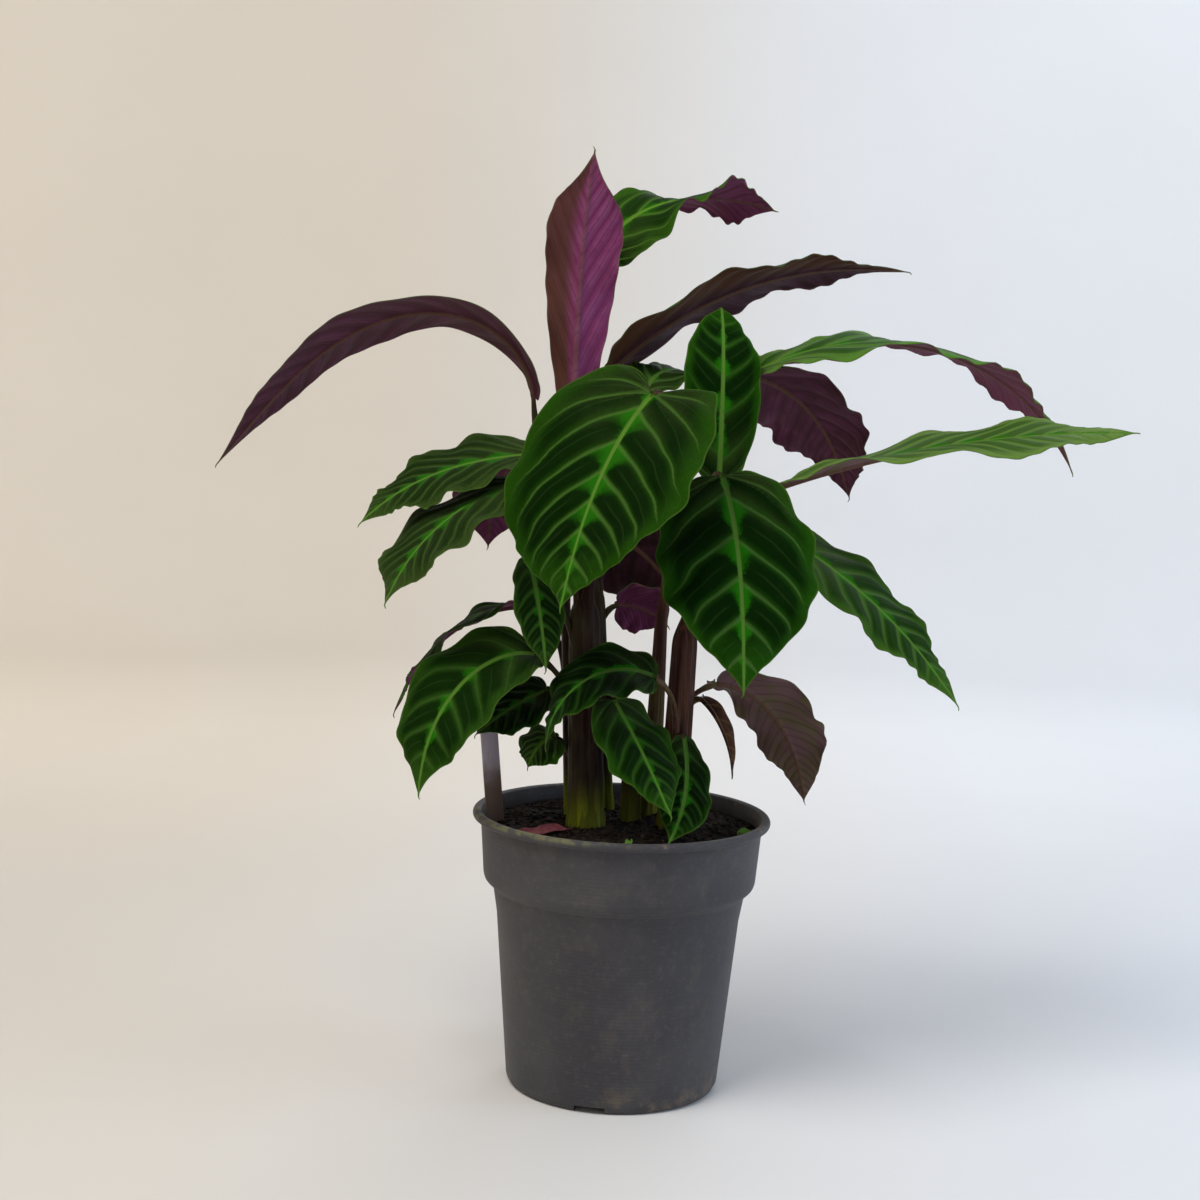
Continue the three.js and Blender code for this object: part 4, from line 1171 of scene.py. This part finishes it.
class CalatheaStudio(bpy.types.PropertyGroup):
    """The stage's colour and light."""

    # warm and cool are painted light: the tints of the light on the left and the right of the stage
    warm: swatch("Warm", "Floor and wall at the left", (0.68, 0.63, 0.56))
    cool: swatch("Cool", "Floor and wall at the right", (0.75, 0.775, 0.82))
    key_power: FloatProperty(
        name="Key light", description="Power of the large soft light at the front left",
        default=30.0, min=0.0, unit="POWER")
    fill_power: FloatProperty(
        name="Fill light", description="Power of the cool light at the right",
        default=9.0, min=0.0, unit="POWER")
    wall_power: FloatProperty(
        name="Wall lights", description="Power of each light on the wall behind the plant",
        default=9.0, min=0.0, unit="POWER")
    sky_strength: FloatProperty(
        name="Sky", description="Strength of the even light from above", default=0.4, min=0.0)


# ---- one operator for each
class CalatheaOperator:
    bl_options = {"REGISTER", "UNDO"}


class CALATHEA_OT_pot(CalatheaOperator, bpy.types.Operator):
    """Build the pot"""

    bl_idname = "calathea.pot"
    bl_label = "Pot"

    def execute(self, context):
        build_pot(pot_finish(context.scene.calathea_pot))
        return {"FINISHED"}


class CALATHEA_OT_soil(CalatheaOperator, bpy.types.Operator):
    """Build the soil with its crumbs"""

    bl_idname = "calathea.soil"
    bl_label = "Soil"

    def execute(self, context):
        finish = soil_finish()
        build_soil(finish)
        scatter("soil_crumbs", finish, "soil", 1500, (0.5, 1.9), (0.0, 0.2), 5, (1.0, 1.4))
        scatter("soil_bark", finish, "soil", 60, (0.9, 2.0), (0.05, 0.4), 6, (1.8, 3.2))
        scatter("soil_grit", finish, "soil", 30, (0.5, 1.1), (0.7, 1.0), 7)
        return {"FINISHED"}


class CALATHEA_OT_litter(CalatheaOperator, bpy.types.Operator):
    """Lay the fallen scraps of leaf on the soil"""

    bl_idname = "calathea.litter"
    bl_label = "Fallen scraps"

    def execute(self, context):
        red = litter_finish("fallen_red", (0.12, 0.025, 0.035), (0.22, 0.06, 0.07))
        green = litter_finish("fallen_green", (0.08, 0.2, 0.02), (0.16, 0.32, 0.04))
        build_scrap(red, (-47, -38), (17, 6), 8, "scrap_red")
        build_scrap(green, (78, -14), (6, 3), 40, "scrap_green_right")
        build_scrap(green, (5, -62), (3.2, 2.2), 70, "scrap_green_front")
        return {"FINISHED"}


class CALATHEA_OT_label(CalatheaOperator, bpy.types.Operator):
    """Build the blank label"""

    bl_idname = "calathea.label"
    bl_label = "Label"

    def execute(self, context):
        build_label(label_finish(context.scene.calathea_pot))
        return {"FINISHED"}


class CALATHEA_OT_shoots(CalatheaOperator, bpy.types.Operator):
    """Build the shoots and the stalks of the leaves"""

    bl_idname = "calathea.shoots"
    bl_label = "Shoots and stalks"

    def execute(self, context):
        finish = stalk_finish(context.scene.calathea_foliage)
        for name in SHOOTS:
            build_shoot(name, finish)
        return {"FINISHED"}


class CALATHEA_OT_blades(CalatheaOperator, bpy.types.Operator):
    """Build the leaf blades"""

    bl_idname = "calathea.blades"
    bl_label = "Leaf blades"

    def execute(self, context):
        foliage = context.scene.calathea_foliage
        dry = dry_leaf_finish()
        finishes = {
            "leaf": [leaf_top_finish(foliage), leaf_under_finish(foliage)],
            "dry_leaf": [dry, dry],
        }
        for leaf in LEAVES:
            build_blade(leaf, foliage, finishes)
        return {"FINISHED"}


class CALATHEA_OT_stage(CalatheaOperator, bpy.types.Operator):
    """Set the floor, the lights and the camera"""

    bl_idname = "calathea.stage"
    bl_label = "Stage"

    def execute(self, context):
        studio = context.scene.calathea_studio
        finish = Finish("cove", Roughness=0.9, Specular_IOR_Level=0.1)
        place = finish.place()
        # painted light: the floor and wall turn from warm and darker at the left to cool and lighter at
        # the right
        to_right = finish.step(finish.axis(place, 0), -0.5, 0.5)
        painted_light_tint = finish.blend(studio.warm, studio.cool, to_right)
        finish.paint("Base Color", painted_light_tint * (0.97 + finish.noise(place, 3.0, 2.0) * 0.06))
        build_cove(finish.material)
        for name, spot, aim, size, power, share, colour in LIGHTS:
            area_light(name, spot, aim, size, getattr(studio, power) * share, colour)
        world = bpy.data.worlds.new("studio")
        world.use_nodes = True
        background = world.node_tree.nodes["Background"].inputs
        background["Color"].default_value = (0.95, 0.97, 1.0, 1.0)
        background["Strength"].default_value = studio.sky_strength
        context.scene.world = world
        context.scene.view_settings.view_transform = "Standard"
        place_camera()
        return {"FINISHED"}


class CALATHEA_PT_panel(bpy.types.Panel):
    """Lists the pieces of the plant"""

    bl_idname = "CALATHEA_PT_panel"
    bl_label = "Potted Calathea"
    bl_space_type = "VIEW_3D"
    bl_region_type = "UI"
    bl_category = "Calathea"

    def draw(self, context):
        for operator in OPERATORS:
            self.layout.operator(operator.bl_idname)
        for name, group in GROUPS.items():
            box = self.layout.box()
            for key in group.__annotations__:
                box.prop(getattr(context.scene, name), key)


GROUPS = {
    "calathea_foliage": CalatheaFoliage,
    "calathea_pot": CalatheaPot,
    "calathea_studio": CalatheaStudio,
}
OPERATORS = (
    CALATHEA_OT_pot, CALATHEA_OT_soil, CALATHEA_OT_litter, CALATHEA_OT_label,
    CALATHEA_OT_shoots, CALATHEA_OT_blades, CALATHEA_OT_stage,
)


def register():
    for made in (*GROUPS.values(), *OPERATORS, CALATHEA_PT_panel):
        bpy.utils.register_class(made)
    for key, group in GROUPS.items():
        setattr(bpy.types.Scene, key, PointerProperty(type=group))


def unregister():
    for key in GROUPS:
        delattr(bpy.types.Scene, key)
    for made in reversed((*GROUPS.values(), *OPERATORS, CALATHEA_PT_panel)):
        bpy.utils.unregister_class(made)


def main():
    register()
    bpy.ops.calathea.pot()
    bpy.ops.calathea.soil()
    bpy.ops.calathea.litter()
    bpy.ops.calathea.label()
    bpy.ops.calathea.shoots()
    bpy.ops.calathea.blades()
    bpy.ops.calathea.stage()


if __name__ == "__main__":
    main()
